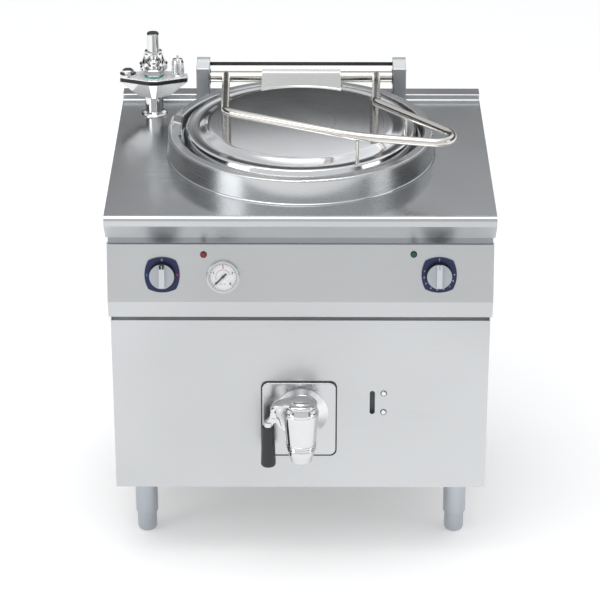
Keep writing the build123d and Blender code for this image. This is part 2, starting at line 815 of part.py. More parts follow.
tube_half = post_inner_x + hinge_engagement
with BuildPart() as hinge_tube:
    with BuildSketch(Plane.YZ.offset(-tube_half)):
        with Locations((hinge_y, hinge_z)):
            Circle(hinge_tube_radius)
            Circle(hinge_tube_radius - hinge_tube_wall, mode=Mode.SUBTRACT)
    extrude(amount=2 * tube_half)
keep(hinge_tube, "hinge_tube")

# Bracket welded on the lid's flange: a plate that runs back over the ring to a sleeve round the hinge tube
plate_thickness = 3.0
plate_bottom_z = lid_top_z
with BuildPart() as lid_bracket:
    with BuildSketch(Plane.YZ.offset(-sleeve_length / 2)):
        with Locations((hinge_y, hinge_z)):
            Circle(sleeve_radius)
        with BuildLine():
            Polyline(
                (pan_y, plate_bottom_z),
                (pan_y, plate_bottom_z + plate_thickness),
                (hinge_y - 6, plate_bottom_z + plate_thickness + 3),
                (hinge_y, hinge_z + sleeve_radius - 1),
                (hinge_y, plate_bottom_z),
                close=True,
            )
        make_face()
        with Locations((hinge_y, hinge_z)):
            Circle(hinge_tube_radius + weld_gap, mode=Mode.SUBTRACT)
    extrude(amount=sleeve_length)
    with BuildSketch(Plane.XY.offset(plate_bottom_z - 5)):
        with Locations((0, pan_y)):
            Circle(lid_shoulder_radius + 1)
    extrude(amount=40, mode=Mode.SUBTRACT)
keep(lid_bracket, "lid_bracket")

# ---------------------------------------------------------------------------------------------------------
# Lid: a pressed dish with a turned-down skirt, a flat flange, a step and a shallow crown
# ---------------------------------------------------------------------------------------------------------
crown_z = lid_top_z + lid_step
crown_sphere = (lid_crown_radius**2 + lid_dome**2) / (2 * lid_dome)
crown_drop = crown_sphere - math.sqrt(crown_sphere**2 - (lid_crown_radius / 2) ** 2)
crown_middle = (lid_crown_radius / 2, crown_z + lid_dome - crown_drop)
with BuildPart() as lid:
    with BuildSketch(pan_section):
        with BuildLine():
            rim_line = FilletPolyline(
                (lid_radius, lid_top_z - lid_skirt),
                (lid_radius, lid_top_z),
                (lid_shoulder_radius, lid_top_z),
                (lid_crown_radius, crown_z),
                radius=[4, 5],
            )
            ThreePointArc((lid_crown_radius, crown_z), crown_middle, (0, crown_z + lid_dome))
            offset(amount=lid_sheet, side=Side.LEFT)
        make_face()
    revolve(axis=pan_axis)
keep(lid, "lid")

# ---------------------------------------------------------------------------------------------------------
# Lid handle: one tube bent round three corners and a hairpin, welded on the hinge tube, with two studs
# ---------------------------------------------------------------------------------------------------------
handle_z = worktop_z + handle_rise
leg_root_z = hinge_z + 3.0


def over_lid(place, z=handle_z):
    """Point of the handle's route, from its place right of centre and back from the nose."""
    return (place[0], nose_y + place[1], z)


with BuildPart() as lid_handle:
    with BuildLine() as handle_route:
        FilletPolyline(
            (-handle_spread, hinge_y, leg_root_z),
            over_lid(left_bend),
            over_lid(front_bend),
            over_lid(tip_corner),
            over_lid(right_bend),
            (handle_spread, hinge_y, leg_root_z),
            radius=[left_bend_radius, front_bend_radius, tip_radius, right_bend_radius],
        )
    with BuildSketch(handle_route.line ^ 0):
        Circle(handle_radius)
        Circle(handle_radius - handle_wall, mode=Mode.SUBTRACT)
    sweep(path=handle_route.line)
    with BuildSketch(Plane.YZ.offset(-post_inner_x)):
        with Locations((hinge_y, hinge_z)):
            Circle(hinge_tube_radius + weld_gap)
    extrude(amount=2 * post_inner_x, mode=Mode.SUBTRACT)
keep(lid_handle, "lid_handle")

stud_top_z = handle_z - handle_radius
with BuildPart() as handle_studs:
    for place in stud_places:
        with BuildSketch(Plane.XY.offset(lid_top_z)):
            with Locations(over_lid(place)[:2]):
                Circle(stud_radius)
        extrude(amount=stud_top_z - lid_top_z)
        with BuildSketch(Plane.XY.offset(lid_top_z)):
            with Locations(over_lid(place)[:2]):
                Circle(stud_radius + 2.2)
        extrude(amount=1.5)
keep(handle_studs, "handle_studs")

# ---------------------------------------------------------------------------------------------------------
# Safety valve group on its column
# ---------------------------------------------------------------------------------------------------------
valve_axis = Axis((valve_x, valve_y, 0), (0, 0, 1))
manifold_bottom_z = worktop_z + manifold_bottom_rise
manifold_edge_z = worktop_z + manifold_edge_rise
manifold_top_z = worktop_z + manifold_top_rise


def turned(points, axis_x, axis_y, bore=0.0):
    """Turned piece: the (radius, height) points of its outline, closed on the axis or on a bore."""
    with BuildPart() as piece:
        with BuildSketch(Plane.XZ.offset(-axis_y)):
            with BuildLine():
                outline = [(axis_x + radius, height) for radius, height in points]
                Polyline(
                    (axis_x + bore, points[0][1]),
                    *outline,
                    (axis_x + bore, points[-1][1]),
                    close=True,
                )
            make_face()
        revolve(axis=Axis((axis_x, axis_y, 0), (0, 0, 1)))
    return piece


rosette = turned(
    [
        (rosette_radius, worktop_z),
        (rosette_radius, worktop_z + 1.5),
        (rosette_radius - 3, worktop_z + 5),
        (column_radius + 1, worktop_z + 8),
    ],
    valve_x,
    valve_y,
    column_radius + weld_gap,
)
column = turned(
    [
        (column_radius, worktop_z),
        (column_radius, manifold_bottom_z),
    ],
    valve_x,
    valve_y,
    steam_pipe_radius + weld_gap,
)
with BuildPart() as valve_column:
    add(column.part)
    add(rosette.part)
keep(valve_column, "valve_column")


def diamond(length, across):
    """Long diamond with blunted ends, on the current sketch."""
    tip = 0.17 * across
    shoulder = 0.06 * length
    with BuildSketch() as outline:
        with BuildLine():
            Polyline(
                (-length / 2, -tip),
                (-shoulder, -across / 2),
                (shoulder, -across / 2),
                (length / 2, -tip),
                (length / 2, tip),
                (shoulder, across / 2),
                (-shoulder, across / 2),
                (-length / 2, tip),
                close=True,
            )
        make_face()
    return outline.sketch


with BuildPart() as manifold:
    with BuildSketch(Plane((valve_x, valve_y, manifold_bottom_z))):
        add(diamond(0.45 * manifold_length, 0.66 * manifold_width))
    with BuildSketch(Plane((valve_x, valve_y, manifold_edge_z))):
        add(diamond(manifold_length, manifold_width))
    loft()
    with BuildSketch(Plane((valve_x, valve_y, manifold_edge_z))):
        add(diamond(manifold_length - 3, manifold_width - 3))
    extrude(amount=manifold_top_z - manifold_edge_z)
    fillet(manifold.edges().group_by(Axis.Z)[-1], 1.5)
keep(manifold, "valve_manifold")

gasket_height = 3.0
nut_top_z = worktop_z + 106.0
nut_bottom_z = manifold_top_z + gasket_height
valve_gasket = turned([(gasket_radius, manifold_top_z), (gasket_radius, nut_bottom_z)], valve_x, valve_y, 8.0)
keep(valve_gasket, "valve_gasket")

cone_top_z = worktop_z + 147.0
valve_top_z = worktop_z + valve_total_rise
with BuildPart() as safety_valve:
    with BuildSketch(Plane((valve_x, valve_y, nut_bottom_z))):
        RegularPolygon(nut_across_flats / 2, 6, major_radius=False)
    extrude(amount=nut_top_z - nut_bottom_z)
    chamfer(safety_valve.faces().sort_by(Axis.Z)[-1].edges(), 1.5)
    with BuildSketch(Plane.XZ.offset(-valve_y)):
        with BuildLine():
            Polyline(
                (valve_x, nut_top_z),
                (valve_x + 14, nut_top_z),
                (valve_x + 14, nut_top_z + 10),
                (valve_x + 17, nut_top_z + 13),
                (valve_x + 17, nut_top_z + 19),
                (valve_x + 11, nut_top_z + 24),
                (valve_x + 11, cone_top_z - 3),
                (valve_x, cone_top_z - 3),
                close=True,
            )
        make_face()
    revolve(axis=valve_axis)
keep(safety_valve, "safety_valve")

# Bell-shaped cap over the safety valve: its skirt is cut away front and back, leaving two arms
bell_outline = [
    (valve_cap_radius - 1.2, valve_top_z),
    (valve_cap_radius, valve_top_z - 2),
    (valve_cap_radius, cone_top_z),
    (19, cone_top_z - 1),
    (19, cone_top_z - 4),
    (bell_radius - 4, cone_top_z - 25),
    (bell_radius, cone_top_z - 29),
    (bell_radius, nut_top_z + 1),
]
bell_hollow = [
    (bell_radius - 3, nut_top_z + 1),
    (bell_radius - 3, cone_top_z - 28),
    (15, cone_top_z - 6),
    (11.5, cone_top_z - 3),
    (11.5, cone_top_z + 4),
]
valve_bell = turned(bell_outline, valve_x, valve_y)
with BuildPart() as bell_core:
    add(turned(bell_hollow, valve_x, valve_y).part)
    with BuildSketch(Plane((valve_x, valve_y, nut_top_z))):
        Rectangle(2.2 * 17, 3 * bell_radius)
    extrude(amount=cone_top_z - 6 - nut_top_z)
with BuildPart() as safety_valve_cap:
    add(valve_bell.part)
    add(bell_core.part, mode=Mode.SUBTRACT)
keep(safety_valve_cap, "safety_valve_cap")

breather_x = valve_x + breather_offset
breather = turned(
    [
        (breather_radius - 3.5, manifold_top_z),
        (breather_radius - 1, manifold_top_z + 5),
        (breather_radius, manifold_top_z + 10),
        (breather_radius - 0.5, manifold_top_z + 32),
        (breather_radius - 3, manifold_top_z + 38),
        (3.5, manifold_top_z + 40),
        (2.5, manifold_top_z + 46),
    ],
    breather_x,
    valve_y,
)
with BuildPart() as breather_valve:
    add(breather.part)
    with BuildSketch(Plane((breather_x, valve_y, manifold_top_z + 6))):
        with PolarLocations(breather_radius + 1, 10):
            Circle(2.2)
    extrude(amount=34, mode=Mode.SUBTRACT)
keep(breather_valve, "breather_valve")

plug_x = valve_x + plug_offset
with BuildPart() as filler_plug:
    with BuildSketch(Plane((plug_x, valve_y, manifold_top_z + seat_gap))):
        Circle(plug_radius)
    extrude(amount=5)
    with BuildSketch(Plane((plug_x, valve_y, manifold_top_z + seat_gap + 5))):
        RegularPolygon(13, 6)
    extrude(amount=9)
    chamfer(filler_plug.faces().sort_by(Axis.Z)[-1].edges(), 1)
keep(filler_plug, "filler_plug")

# ---------------------------------------------------------------------------------------------------------
# Drain tap: cover plate, spun flange, taper-plug body and bonnet
# ---------------------------------------------------------------------------------------------------------
plate_face_y = front_y - escutcheon_thickness
with BuildPart() as escutcheon:
    with BuildSketch(Plane.XZ.offset(-front_y)):
        with Locations(escutcheon_place):
            RectangleRounded(*escutcheon_size, escutcheon_corner)
        with Locations((tap_x, drain_height)):
            Circle(drain_radius + weld_gap, mode=Mode.SUBTRACT)
    extrude(amount=escutcheon_thickness)
    front_rim = escutcheon.faces().sort_by(Axis.Y)[0].outer_wire().edges()
    fillet(front_rim, 2.5)
keep(escutcheon, "tap_escutcheon")

tap_line = Axis((tap_x, tap_y, drain_height), (0, 1, 0))
neck_bore = drain_radius + weld_gap
with BuildPart() as tap_flange:
    with BuildSketch(Plane.XY.offset(drain_height)):
        with BuildLine():
            Polyline(
                (tap_x + tap_neck_radius + weld_gap, plate_face_y),
                (tap_x + tap_flange_radius, plate_face_y),
                (tap_x + tap_flange_radius, plate_face_y - 2.5),
                (tap_x + tap_flange_radius - 5, plate_face_y - 5),
                (tap_x + tap_neck_radius + 8, plate_face_y - tap_flange_depth),
                (tap_x + tap_neck_radius + weld_gap, plate_face_y - tap_flange_depth),
                close=True,
            )
        make_face()
    revolve(axis=tap_line)
    fillet(tap_flange.edges().filter_by(GeomType.CIRCLE).group_by(Axis.Y)[0], 1.5)
keep(tap_flange, "tap_flange")


def plug_radius_at(height):
    """Radius of the tap's taper plug at a height above the floor."""
    share = (height - plug_bottom) / (tap_top - plug_bottom)
    return plug_bottom_radius + (plug_top_radius - plug_bottom_radius) * share


port_radius = 15.0
tap_shell = turned(
    [
        (spout_radius, spout_bottom),
        (tap_ring_radius - 3, tap_ring_height - 20),
        (tap_ring_radius - 1, tap_ring_height - 4),
        (tap_ring_radius + 0.6, tap_ring_height - 3),
        (tap_ring_radius + 0.6, tap_ring_height),
        (tap_ring_radius, tap_ring_height + 1),
        (tap_top_radius, tap_top - 5),
        (tap_top_radius, tap_top),
        (plug_radius_at(tap_top) + running_fit, tap_top),
        (plug_radius_at(plug_bottom - 1) + running_fit, plug_bottom - 1),
    ],
    tap_x,
    tap_y,
    drain_bore,
)
with BuildPart() as tap_body:
    add(tap_shell.part)
    with BuildSketch(Plane.XZ.offset(-tap_y)):
        with Locations((tap_x, drain_height)):
            Circle(tap_neck_radius)
    extrude(amount=-(plate_face_y - tap_y))
    plug_hole = turned(
        [
            (plug_radius_at(plug_bottom - 1) + running_fit, plug_bottom - 1),
            (plug_radius_at(tap_top) + running_fit, tap_top),
        ],
        tap_x,
        tap_y,
    )
    add(plug_hole.part, mode=Mode.SUBTRACT)
    with BuildSketch(Plane.XZ.offset(-tap_y)):
        with Locations((tap_x, drain_height)):
            Circle(port_radius)
    extrude(amount=-(plate_face_y - tap_y), mode=Mode.SUBTRACT)
    with BuildSketch(Plane.XZ.offset(-plate_face_y)):
        with Locations((tap_x, drain_height)):
            Circle(neck_bore)
    extrude(amount=2.5, mode=Mode.SUBTRACT)
keep(tap_body, "tap_body")

bonnet_top = tap_top + bonnet_height
tap_bonnet = turned(
    [
        (tap_top_radius - 1, tap_top),
        (tap_top_radius - 1, tap_top + 5),
        (bonnet_radius, tap_top + 7),
        (bonnet_radius - 2, bonnet_top - 2),
        (bonnet_radius - 5, bonnet_top),
    ],
    tap_x,
    tap_y,
    stem_radius + running_fit,
)
keep(tap_bonnet, "tap_bonnet")

lever_bottom = bonnet_top + seat_gap
stem_top = lever_bottom + hub_height - 3
tap_plug_blank = turned(
    [
        (plug_bottom_radius, plug_bottom),
        (plug_top_radius, tap_top - seat_gap),
        (stem_radius, tap_top - seat_gap),
        (stem_radius, stem_top),
    ],
    tap_x,
    tap_y,
)
with BuildPart() as tap_plug:
    add(tap_plug_blank.part)
    with BuildSketch(Plane.YZ.offset(tap_x)):
        with Locations((tap_y, drain_height)):
            Circle(port_radius)
    extrude(amount=plug_top_radius + 1, mode=Mode.SUBTRACT)
    with BuildSketch(Plane.XY.offset(plug_bottom)):
        with Locations((tap_x, tap_y)):
            Circle(port_radius)
    extrude(amount=drain_height - plug_bottom, mode=Mode.SUBTRACT)
keep(tap_plug, "tap_plug")

# ---------------------------------------------------------------------------------------------------------
# Tap lever: a drop-shaped head on the plug's stem, with a fork that carries the folding grip
# ---------------------------------------------------------------------------------------------------------
pin_x = tap_x + pin_place[0]
pin_z = pin_place[1]
ear_y = knuckle_width / 2 + seat_gap
lever_top = lever_bottom + hub_height
with BuildPart() as tap_lever:
    with BuildSketch(Plane.XY.offset(lever_bottom)):
        with Locations((tap_x, tap_y)):
            Circle(hub_radius)
        with Locations((tap_x + lever_end, tap_y)):
            Circle(lever_end_radius)
        make_hull()
    extrude(amount=hub_height)
    fillet(tap_lever.faces().sort_by(Axis.Z)[-1].edges(), 4)
    with BuildSketch(Plane((tap_x, tap_y, lever_top - 1))):
        Ellipse(hub_radius - 6, hub_radius - 8)
    extrude(amount=4, taper=35)
    with BuildSketch(Plane.XZ.offset(-tap_y)):
        with Locations((pin_x, pin_z)):
            Circle(knuckle_radius)
        with Locations((pin_x, lever_bottom + 2)):
            Rectangle(2 * knuckle_radius + 3, 4)
        make_hull()
    extrude(amount=ear_y + ear_thickness, both=True)
    with BuildSketch(Plane.XZ.offset(-tap_y)):
        with Locations((pin_x, pin_z)):
            Rectangle(4 * knuckle_radius, 2 * (lever_bottom - pin_z))
    extrude(amount=ear_y, both=True, mode=Mode.SUBTRACT)
    with BuildSketch(Plane.XY.offset(lever_bottom - 1)):
        with Locations((tap_x, tap_y)):
            Circle(stem_radius + weld_gap)
    extrude(amount=stem_top - lever_bottom + 1, mode=Mode.SUBTRACT)
    with BuildSketch(Plane.XZ.offset(-tap_y)):
        with Locations((pin_x, pin_z)):
            Circle(pin_radius + weld_gap)
    extrude(amount=2 * ear_y, both=True, mode=Mode.SUBTRACT)
keep(tap_lever, "tap_lever")

with BuildPart() as lever_pin:
    with BuildSketch(Plane.XZ.offset(-tap_y)):
        with Locations((pin_x, pin_z)):
            Circle(pin_radius)
    extrude(amount=ear_y + ear_thickness, both=True)
    with BuildSketch(
        Plane.XZ.offset(-tap_y + ear_y + ear_thickness),
        Plane.XZ.offset(-tap_y - ear_y - ear_thickness - 1.5),
    ):
        with Locations((pin_x, pin_z)):
            Circle(pin_radius + 1.5)
    extrude(amount=1.5)
keep(lever_pin, "lever_pin")

shank_x = tap_x + shank_place
shank_top = pin_z - knuckle_radius - 2
socket_depth = 30.0
with BuildPart() as tap_shank:
    with BuildSketch(Plane.XY.offset(grip_top)):
        with Locations((shank_x, tap_y)):
            Circle(shank_radius)
    extrude(amount=shank_top - grip_top)
    with BuildSketch(Plane.XY.offset(grip_top - socket_depth)):
        with Locations((shank_x, tap_y)):
            Circle(shank_radius - 3)
    extrude(amount=socket_depth)
    with BuildSketch(Plane.XZ.offset(-tap_y)):
        with Locations((pin_x, pin_z)):
            Circle(knuckle_radius)
        with Locations((shank_x + 2, shank_top - 3)):
            Rectangle(2 * shank_radius - 7, 6)
        make_hull()
    extrude(amount=knuckle_width / 2, both=True)
    with BuildSketch(Plane.XZ.offset(-tap_y)):
        with BuildLine():
            Polyline(
                (pin_x + 3, pin_z + 4),
                (pin_x + 12, pin_z - 2),
                (pin_x + 18, pin_z - 24),
                (pin_x + 15.5, pin_z - 23),
                (pin_x + 3, pin_z - 5),
                close=True,
            )
        make_face()
    extrude(amount=knuckle_width / 2 - 1, both=True)
    with BuildSketch(Plane.XZ.offset(-tap_y)):
        with Locations((pin_x, pin_z)):
            Circle(pin_radius + running_fit)
    extrude(amount=knuckle_width, both=True, mode=Mode.SUBTRACT)
keep(tap_shank, "tap_shank")

tap_grip = turned(
    [
        (grip_bottom_radius - 4, grip_top - grip_length),
        (grip_bottom_radius - 1, grip_top - grip_length + 1.5),
        (grip_bottom_radius, grip_top - grip_length + 5),
        (grip_top_radius, grip_top - 1),
        (grip_top_radius - 1, grip_top),
        (shank_radius - 3 + weld_gap, grip_top),
        (shank_radius - 3 + weld_gap, grip_top - socket_depth - 1),
    ],
    shank_x,
    tap_y,
)
keep(tap_grip, "tap_grip")

# ---------------------------------------------------------------------------------------------------------
# Control knobs on their dial plates, with the valve and the switch that they turn
# ---------------------------------------------------------------------------------------------------------
bezel_gap = 0.5


def dial_outline():
    """Barrel-sided square of the dial plate."""
    across, up = bezel_corner
    with BuildSketch() as outline:
        with BuildLine():
            ThreePointArc((-across, up), (0, bezel_bulge[1]), (across, up))
            ThreePointArc((across, up), (bezel_bulge[0], 0), (across, -up))
            ThreePointArc((across, -up), (0, -bezel_bulge[1]), (-across, -up))
            ThreePointArc((-across, -up), (-bezel_bulge[0], 0), (-across, up))
        make_face()
        fillet(outline.vertices(), 2)
        Circle(knob_shaft_radius + 1, mode=Mode.SUBTRACT)
    return outline.sketch


with BuildPart() as dial_plates:
    with BuildSketch(on_panel(left_knob_place), on_panel(right_knob_place)):
        add(dial_outline())
    extrude(amount=bezel_thickness)
keep(dial_plates, "dial_plates")

for knob_name, place in (("knob_left", left_knob_place), ("knob_right", right_knob_place)):
    knob_base = bezel_thickness + bezel_gap
    with BuildPart() as knob:
        with BuildSketch(on_panel(place, knob_base)):
            Circle(knob_skirt_radius)
        extrude(amount=3)
        with BuildSketch(on_panel(place, knob_base + 3)):
            Circle(knob_radius + 0.8)
        extrude(amount=knob_height - 3, taper=2)
        with BuildSketch(on_panel(place, knob_base + knob_height)):
            Rectangle(grip_bar_width, 2 * knob_radius - 4)
            Circle(knob_radius - 0.6, mode=Mode.INTERSECT)
        extrude(amount=grip_bar_height, taper=6)
        with BuildSketch(on_panel(place, knob_base + knob_height + 1)):
            with Locations((0, knob_radius - 4)):
                Rectangle(grip_bar_width - 2, 9)
        extrude(amount=grip_bar_height, mode=Mode.SUBTRACT)
        with BuildSketch(on_panel(place, -knob_shaft_length)):
            Circle(knob_shaft_radius)
        extrude(amount=knob_shaft_length + knob_base)
    keep(knob, knob_name)

spindle_bush_radius = shaft_hole_radius - weld_gap
with BuildPart() as water_valve:
    with BuildSketch(on_panel(left_knob_place, -sheet - water_valve_depth)):
        RectangleRounded(water_valve_size, water_valve_size, 4)
    extrude(amount=water_valve_depth)
    with BuildSketch(on_panel(left_knob_place, -sheet)):
        Circle(spindle_bush_radius)
    extrude(amount=sheet)
    with BuildSketch(on_panel(left_knob_place, -knob_shaft_length - 1)):
        Circle(knob_shaft_radius + running_fit)
    extrude(amount=knob_shaft_length + 1, mode=Mode.SUBTRACT)
keep(water_valve, "water_valve")

switch_size = (48.0, 44.0, 38.0)
with BuildPart() as energy_switch:
    with BuildSketch(on_panel(right_knob_place, -sheet - switch_size[2])):
        RectangleRounded(switch_size[0], switch_size[1], 3)
    extrude(amount=switch_size[2])
    with BuildSketch(on_panel(right_knob_place, -sheet - switch_size[2] - 9)):
        with GridLocations(11, 26, 4, 2):
            Rectangle(6, 1.2)
    extrude(amount=9)
    with BuildSketch(on_panel(right_knob_place, -sheet)):
        Circle(spindle_bush_radius)
    extrude(amount=sheet)
    with BuildSketch(on_panel(right_knob_place, -knob_shaft_length - 1)):
        Circle(knob_shaft_radius + running_fit)
    extrude(amount=knob_shaft_length + 1, mode=Mode.SUBTRACT)
keep(energy_switch, "energy_switch")

# ---------------------------------------------------------------------------------------------------------
# Pressure gauge: cup and rim, dial, needle and glass
# ---------------------------------------------------------------------------------------------------------
dial_height = 2.0
glass_height = 5.0
glass_thickness = 1.5
glass_radius = gauge_cup_radius - 0.5
spindle_radius = 1.2
gauge_axis = Axis(gauge_plane.origin, gauge_plane.z_dir)
with BuildPart() as gauge_case:
    with BuildSketch(gauge_plane.offset(-gauge_depth)):
        Circle(gauge_cup_radius)
    extrude(amount=gauge_depth + glass_height + glass_thickness)
    with BuildSketch(gauge_plane):
        Circle(gauge_radius)
        Circle(gauge_cup_radius - 1, mode=Mode.SUBTRACT)
    extrude(amount=glass_height + glass_thickness + 0.8)
    fillet(gauge_case.faces().sort_by(Axis.Y)[0].outer_wire().edges(), 2)
    with BuildSketch(gauge_plane.offset(-gauge_depth + 12)):
        Circle(glass_radius)
    extrude(amount=gauge_depth, mode=Mode.SUBTRACT)
    with BuildSketch(gauge_plane.offset(-gauge_depth + 12)):
        Circle(5)
        Circle(spindle_radius + running_fit, mode=Mode.SUBTRACT)
    extrude(amount=gauge_depth - 12 + dial_height - 1.2 - weld_gap)
keep(gauge_case, "gauge_case")

with BuildPart() as gauge_dial:
    with BuildSketch(gauge_plane.offset(dial_height - 1.2)):
        Circle(glass_radius - weld_gap)
        Circle(spindle_radius + seat_gap, mode=Mode.SUBTRACT)
    extrude(amount=1.2)
keep(gauge_dial, "gauge_dial")

needle_zero = math.radians(-135)
with BuildPart() as gauge_needle:
    with BuildSketch(gauge_plane.offset(dial_height + 0.6)):
        Circle(3)
        with Locations(Rotation(0, 0, math.degrees(needle_zero))):
            with Locations((7, 0)):
                Trapezoid(30, 3.2, 88, rotation=0)
    extrude(amount=0.8)
    with BuildSketch(gauge_plane.offset(-8)):
        Circle(spindle_radius)
    extrude(amount=8 + dial_height + 0.8)
keep(gauge_needle, "gauge_needle")

with BuildPart() as gauge_glass:
    with BuildSketch(gauge_plane.offset(glass_height)):
        Circle(glass_radius - weld_gap)
    extrude(amount=glass_thickness)
keep(gauge_glass, "gauge_glass")

# ---------------------------------------------------------------------------------------------------------
# Signal lamps, sight slot and the electric connection
# ---------------------------------------------------------------------------------------------------------
for lamp_name, place in (("lamp_red", red_lamp_place), ("lamp_green", green_lamp_place)):
    with BuildPart() as lamp:
        with BuildSketch(on_panel(place, 0)):
            Circle(lamp_radius)
        extrude(amount=4)
        fillet(lamp.edges().filter_by(GeomType.CIRCLE).sort_by(Axis.Y)[0], 2.5)
        with BuildSketch(on_panel(place, -22)):
            Circle(lamp_body_radius)
        extrude(amount=22)
        with BuildSketch(on_panel(place, -sheet - 4)):
            RegularPolygon(lamp_body_radius + 3, 6)
        extrude(amount=4)
    keep(lamp, lamp_name)

recess_depth = 12.0
with BuildPart() as sight_recess:
    with BuildSketch(Plane.XZ.offset(-front_y - sheet)):
        with Locations((slot_place[0], slot_z)):
            RectangleRounded(slot_size[0] + 10, slot_size[1] + 10, 3)
    extrude(amount=-recess_depth)
    with BuildSketch(Plane.XZ.offset(-front_y - sheet)):
        with Locations((slot_place[0], slot_z)):
            RectangleRounded(slot_size[0] + 6, slot_size[1] + 6, 2)
    extrude(amount=-(recess_depth - 2), mode=Mode.SUBTRACT)
keep(sight_recess, "sight_recess")

with BuildPart() as sight_screws:
    for screw_x, screw_z in screw_places:
        with BuildSketch(Plane.XZ.offset(-front_y)):
            with Locations((screw_x, screw_z)):
                Circle(sight_screw_radius)
        extrude(amount=2.6)
        with BuildSketch(Plane.XZ.offset(-front_y - 9)):
            with Locations((screw_x, screw_z)):
                Circle(screw_shank_radius - weld_gap)
        extrude(amount=9)
    rims = sight_screws.edges().filter_by(GeomType.CIRCLE).group_by(Axis.Y)[0]
    fillet(rims, 2.2)
keep(sight_screws, "sight_screws")

terminal_size = (70.0, 100.0, 60.0)
terminal_place = (rail_x - tube_size / 2 - terminal_size[0] / 2, 60.0)
with BuildPart() as terminal_box:
    with BuildSketch(Plane.XY.offset(cabinet_bottom)):
        with Locations(terminal_place):
            RectangleRounded(terminal_size[0], terminal_size[1], 5)
    extrude(amount=terminal_size[2])
    offset(amount=-sheet, openings=terminal_box.faces().sort_by(Axis.Z)[-1])
    with BuildSketch(Plane.XY.offset(cabinet_bottom)):
        with Locations(terminal_place):
            Circle(12.5 + weld_gap)
    extrude(amount=sheet, mode=Mode.SUBTRACT)
    with BuildSketch(Plane.XY.offset(cabinet_bottom + terminal_size[2])):
        with Locations(terminal_place):
            RectangleRounded(terminal_size[0], terminal_size[1], 5)
    extrude(amount=3)
keep(terminal_box, "terminal_box")

gland_bore = 6.5
with BuildPart() as cable_gland:
    with BuildSketch(Plane.XY.offset(cabinet_bottom - 22)):
        with Locations(terminal_place):
            Circle(13)
    extrude(amount=14)
    fillet(cable_gland.faces().sort_by(Axis.Z)[0].edges(), 3)
    with BuildSketch(Plane.XY.offset(cabinet_bottom - 8)):
        with Locations(terminal_place):
            RegularPolygon(17, 6)
    extrude(amount=8)
    with BuildSketch(Plane.XY.offset(cabinet_bottom)):
        with Locations(terminal_place):
            Circle(12.5)
    extrude(amount=12)
    with BuildSketch(Plane.XY.offset(cabinet_bottom - 23)):
        with Locations(terminal_place):
            Circle(gland_bore)
    extrude(amount=36, mode=Mode.SUBTRACT)
keep(cable_gland, "cable_gland")
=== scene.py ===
"""Steam jacketed kettle: a square cabinet on legs round a deep pan, with a hinged lid and a tap."""

import math

import bmesh
import bpy
from mathutils import Matrix, Vector


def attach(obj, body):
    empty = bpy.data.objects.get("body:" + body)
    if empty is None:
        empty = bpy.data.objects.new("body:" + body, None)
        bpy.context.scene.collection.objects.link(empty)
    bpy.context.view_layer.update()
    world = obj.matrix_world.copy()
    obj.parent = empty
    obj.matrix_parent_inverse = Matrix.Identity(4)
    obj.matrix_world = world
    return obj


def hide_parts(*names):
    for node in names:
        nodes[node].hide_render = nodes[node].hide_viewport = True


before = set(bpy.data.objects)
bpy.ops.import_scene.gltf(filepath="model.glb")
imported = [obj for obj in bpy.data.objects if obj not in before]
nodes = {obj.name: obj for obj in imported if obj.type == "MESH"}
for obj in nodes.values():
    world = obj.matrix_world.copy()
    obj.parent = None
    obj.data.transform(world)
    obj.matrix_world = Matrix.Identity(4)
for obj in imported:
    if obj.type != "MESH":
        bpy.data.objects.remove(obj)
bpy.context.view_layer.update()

# --------------------------------------------------------------------------------------------------
# Studio: a long lens looking down a little from the front, a pale floor, a large soft box overhead,
# two weaker ones at the sides, and a sky with pale and grey bands behind and dark flags beside it.
# --------------------------------------------------------------------------------------------------
camera_place = (0.016, -5.089, 3.028)
camera_pitch = 26.39
camera_yaw = -0.2
lens = 155.0

camera_data = bpy.data.cameras.new("camera")
camera_data.lens = lens
camera_data.sensor_width = 36.0
camera_data.clip_start = 0.05
camera_data.clip_end = 60.0
camera = bpy.data.objects.new("camera", camera_data)
camera.location = camera_place
camera.rotation_euler = (math.radians(90 - camera_pitch), 0, math.radians(-camera_yaw))
bpy.context.scene.collection.objects.link(camera)
bpy.context.scene.camera = camera
bpy.context.scene.view_settings.view_transform = "Standard"

floor_grey = 0.8
floor_lift = 0.34
floor_reach = 14
corners = [(-floor_reach, -floor_reach, 0), (floor_reach, -floor_reach, 0)]
corners += [(floor_reach, floor_reach, 0), (-floor_reach, floor_reach, 0)]
floor_mesh = bpy.data.meshes.new("floor")
floor_mesh.from_pydata(corners, [], [(0, 1, 2, 3)])
studio_floor = bpy.data.objects.new("studio_floor", floor_mesh)
bpy.context.scene.collection.objects.link(studio_floor)


def number(tree, step, first, second):
    """Math node of a tree; an input is a socket or a plain number."""
    node = tree.nodes.new("ShaderNodeMath")
    node.operation = step
    for place, value in enumerate((first, second)):
        if isinstance(value, (int, float)):
            node.inputs[place].default_value = value
        else:
            tree.links.new(value, node.inputs[place])
    return node.outputs[0]


def ramp(tree, value, start, end, low=0.0, high=1.0, curve="SMOOTHSTEP"):
    """Map Range node: value goes from low to high between start and end."""
    node = tree.nodes.new("ShaderNodeMapRange")
    node.interpolation_type = curve
    tree.links.new(value, node.inputs["Value"])
    node.inputs["From Min"].default_value = start
    node.inputs["From Max"].default_value = end
    node.inputs["To Min"].default_value = low
    node.inputs["To Max"].default_value = high
    return node.outputs[0]


def mixed(tree, amount, first, second):
    """Colour between two colours or sockets."""
    node = tree.nodes.new("ShaderNodeMix")
    node.data_type = "RGBA"
    tree.links.new(amount, node.inputs[0])
    for place, value in ((6, first), (7, second)):
        if isinstance(value, tuple):
            node.inputs[place].default_value = (*value, 1)
        else:
            tree.links.new(value, node.inputs[place])
    return node.outputs[2]


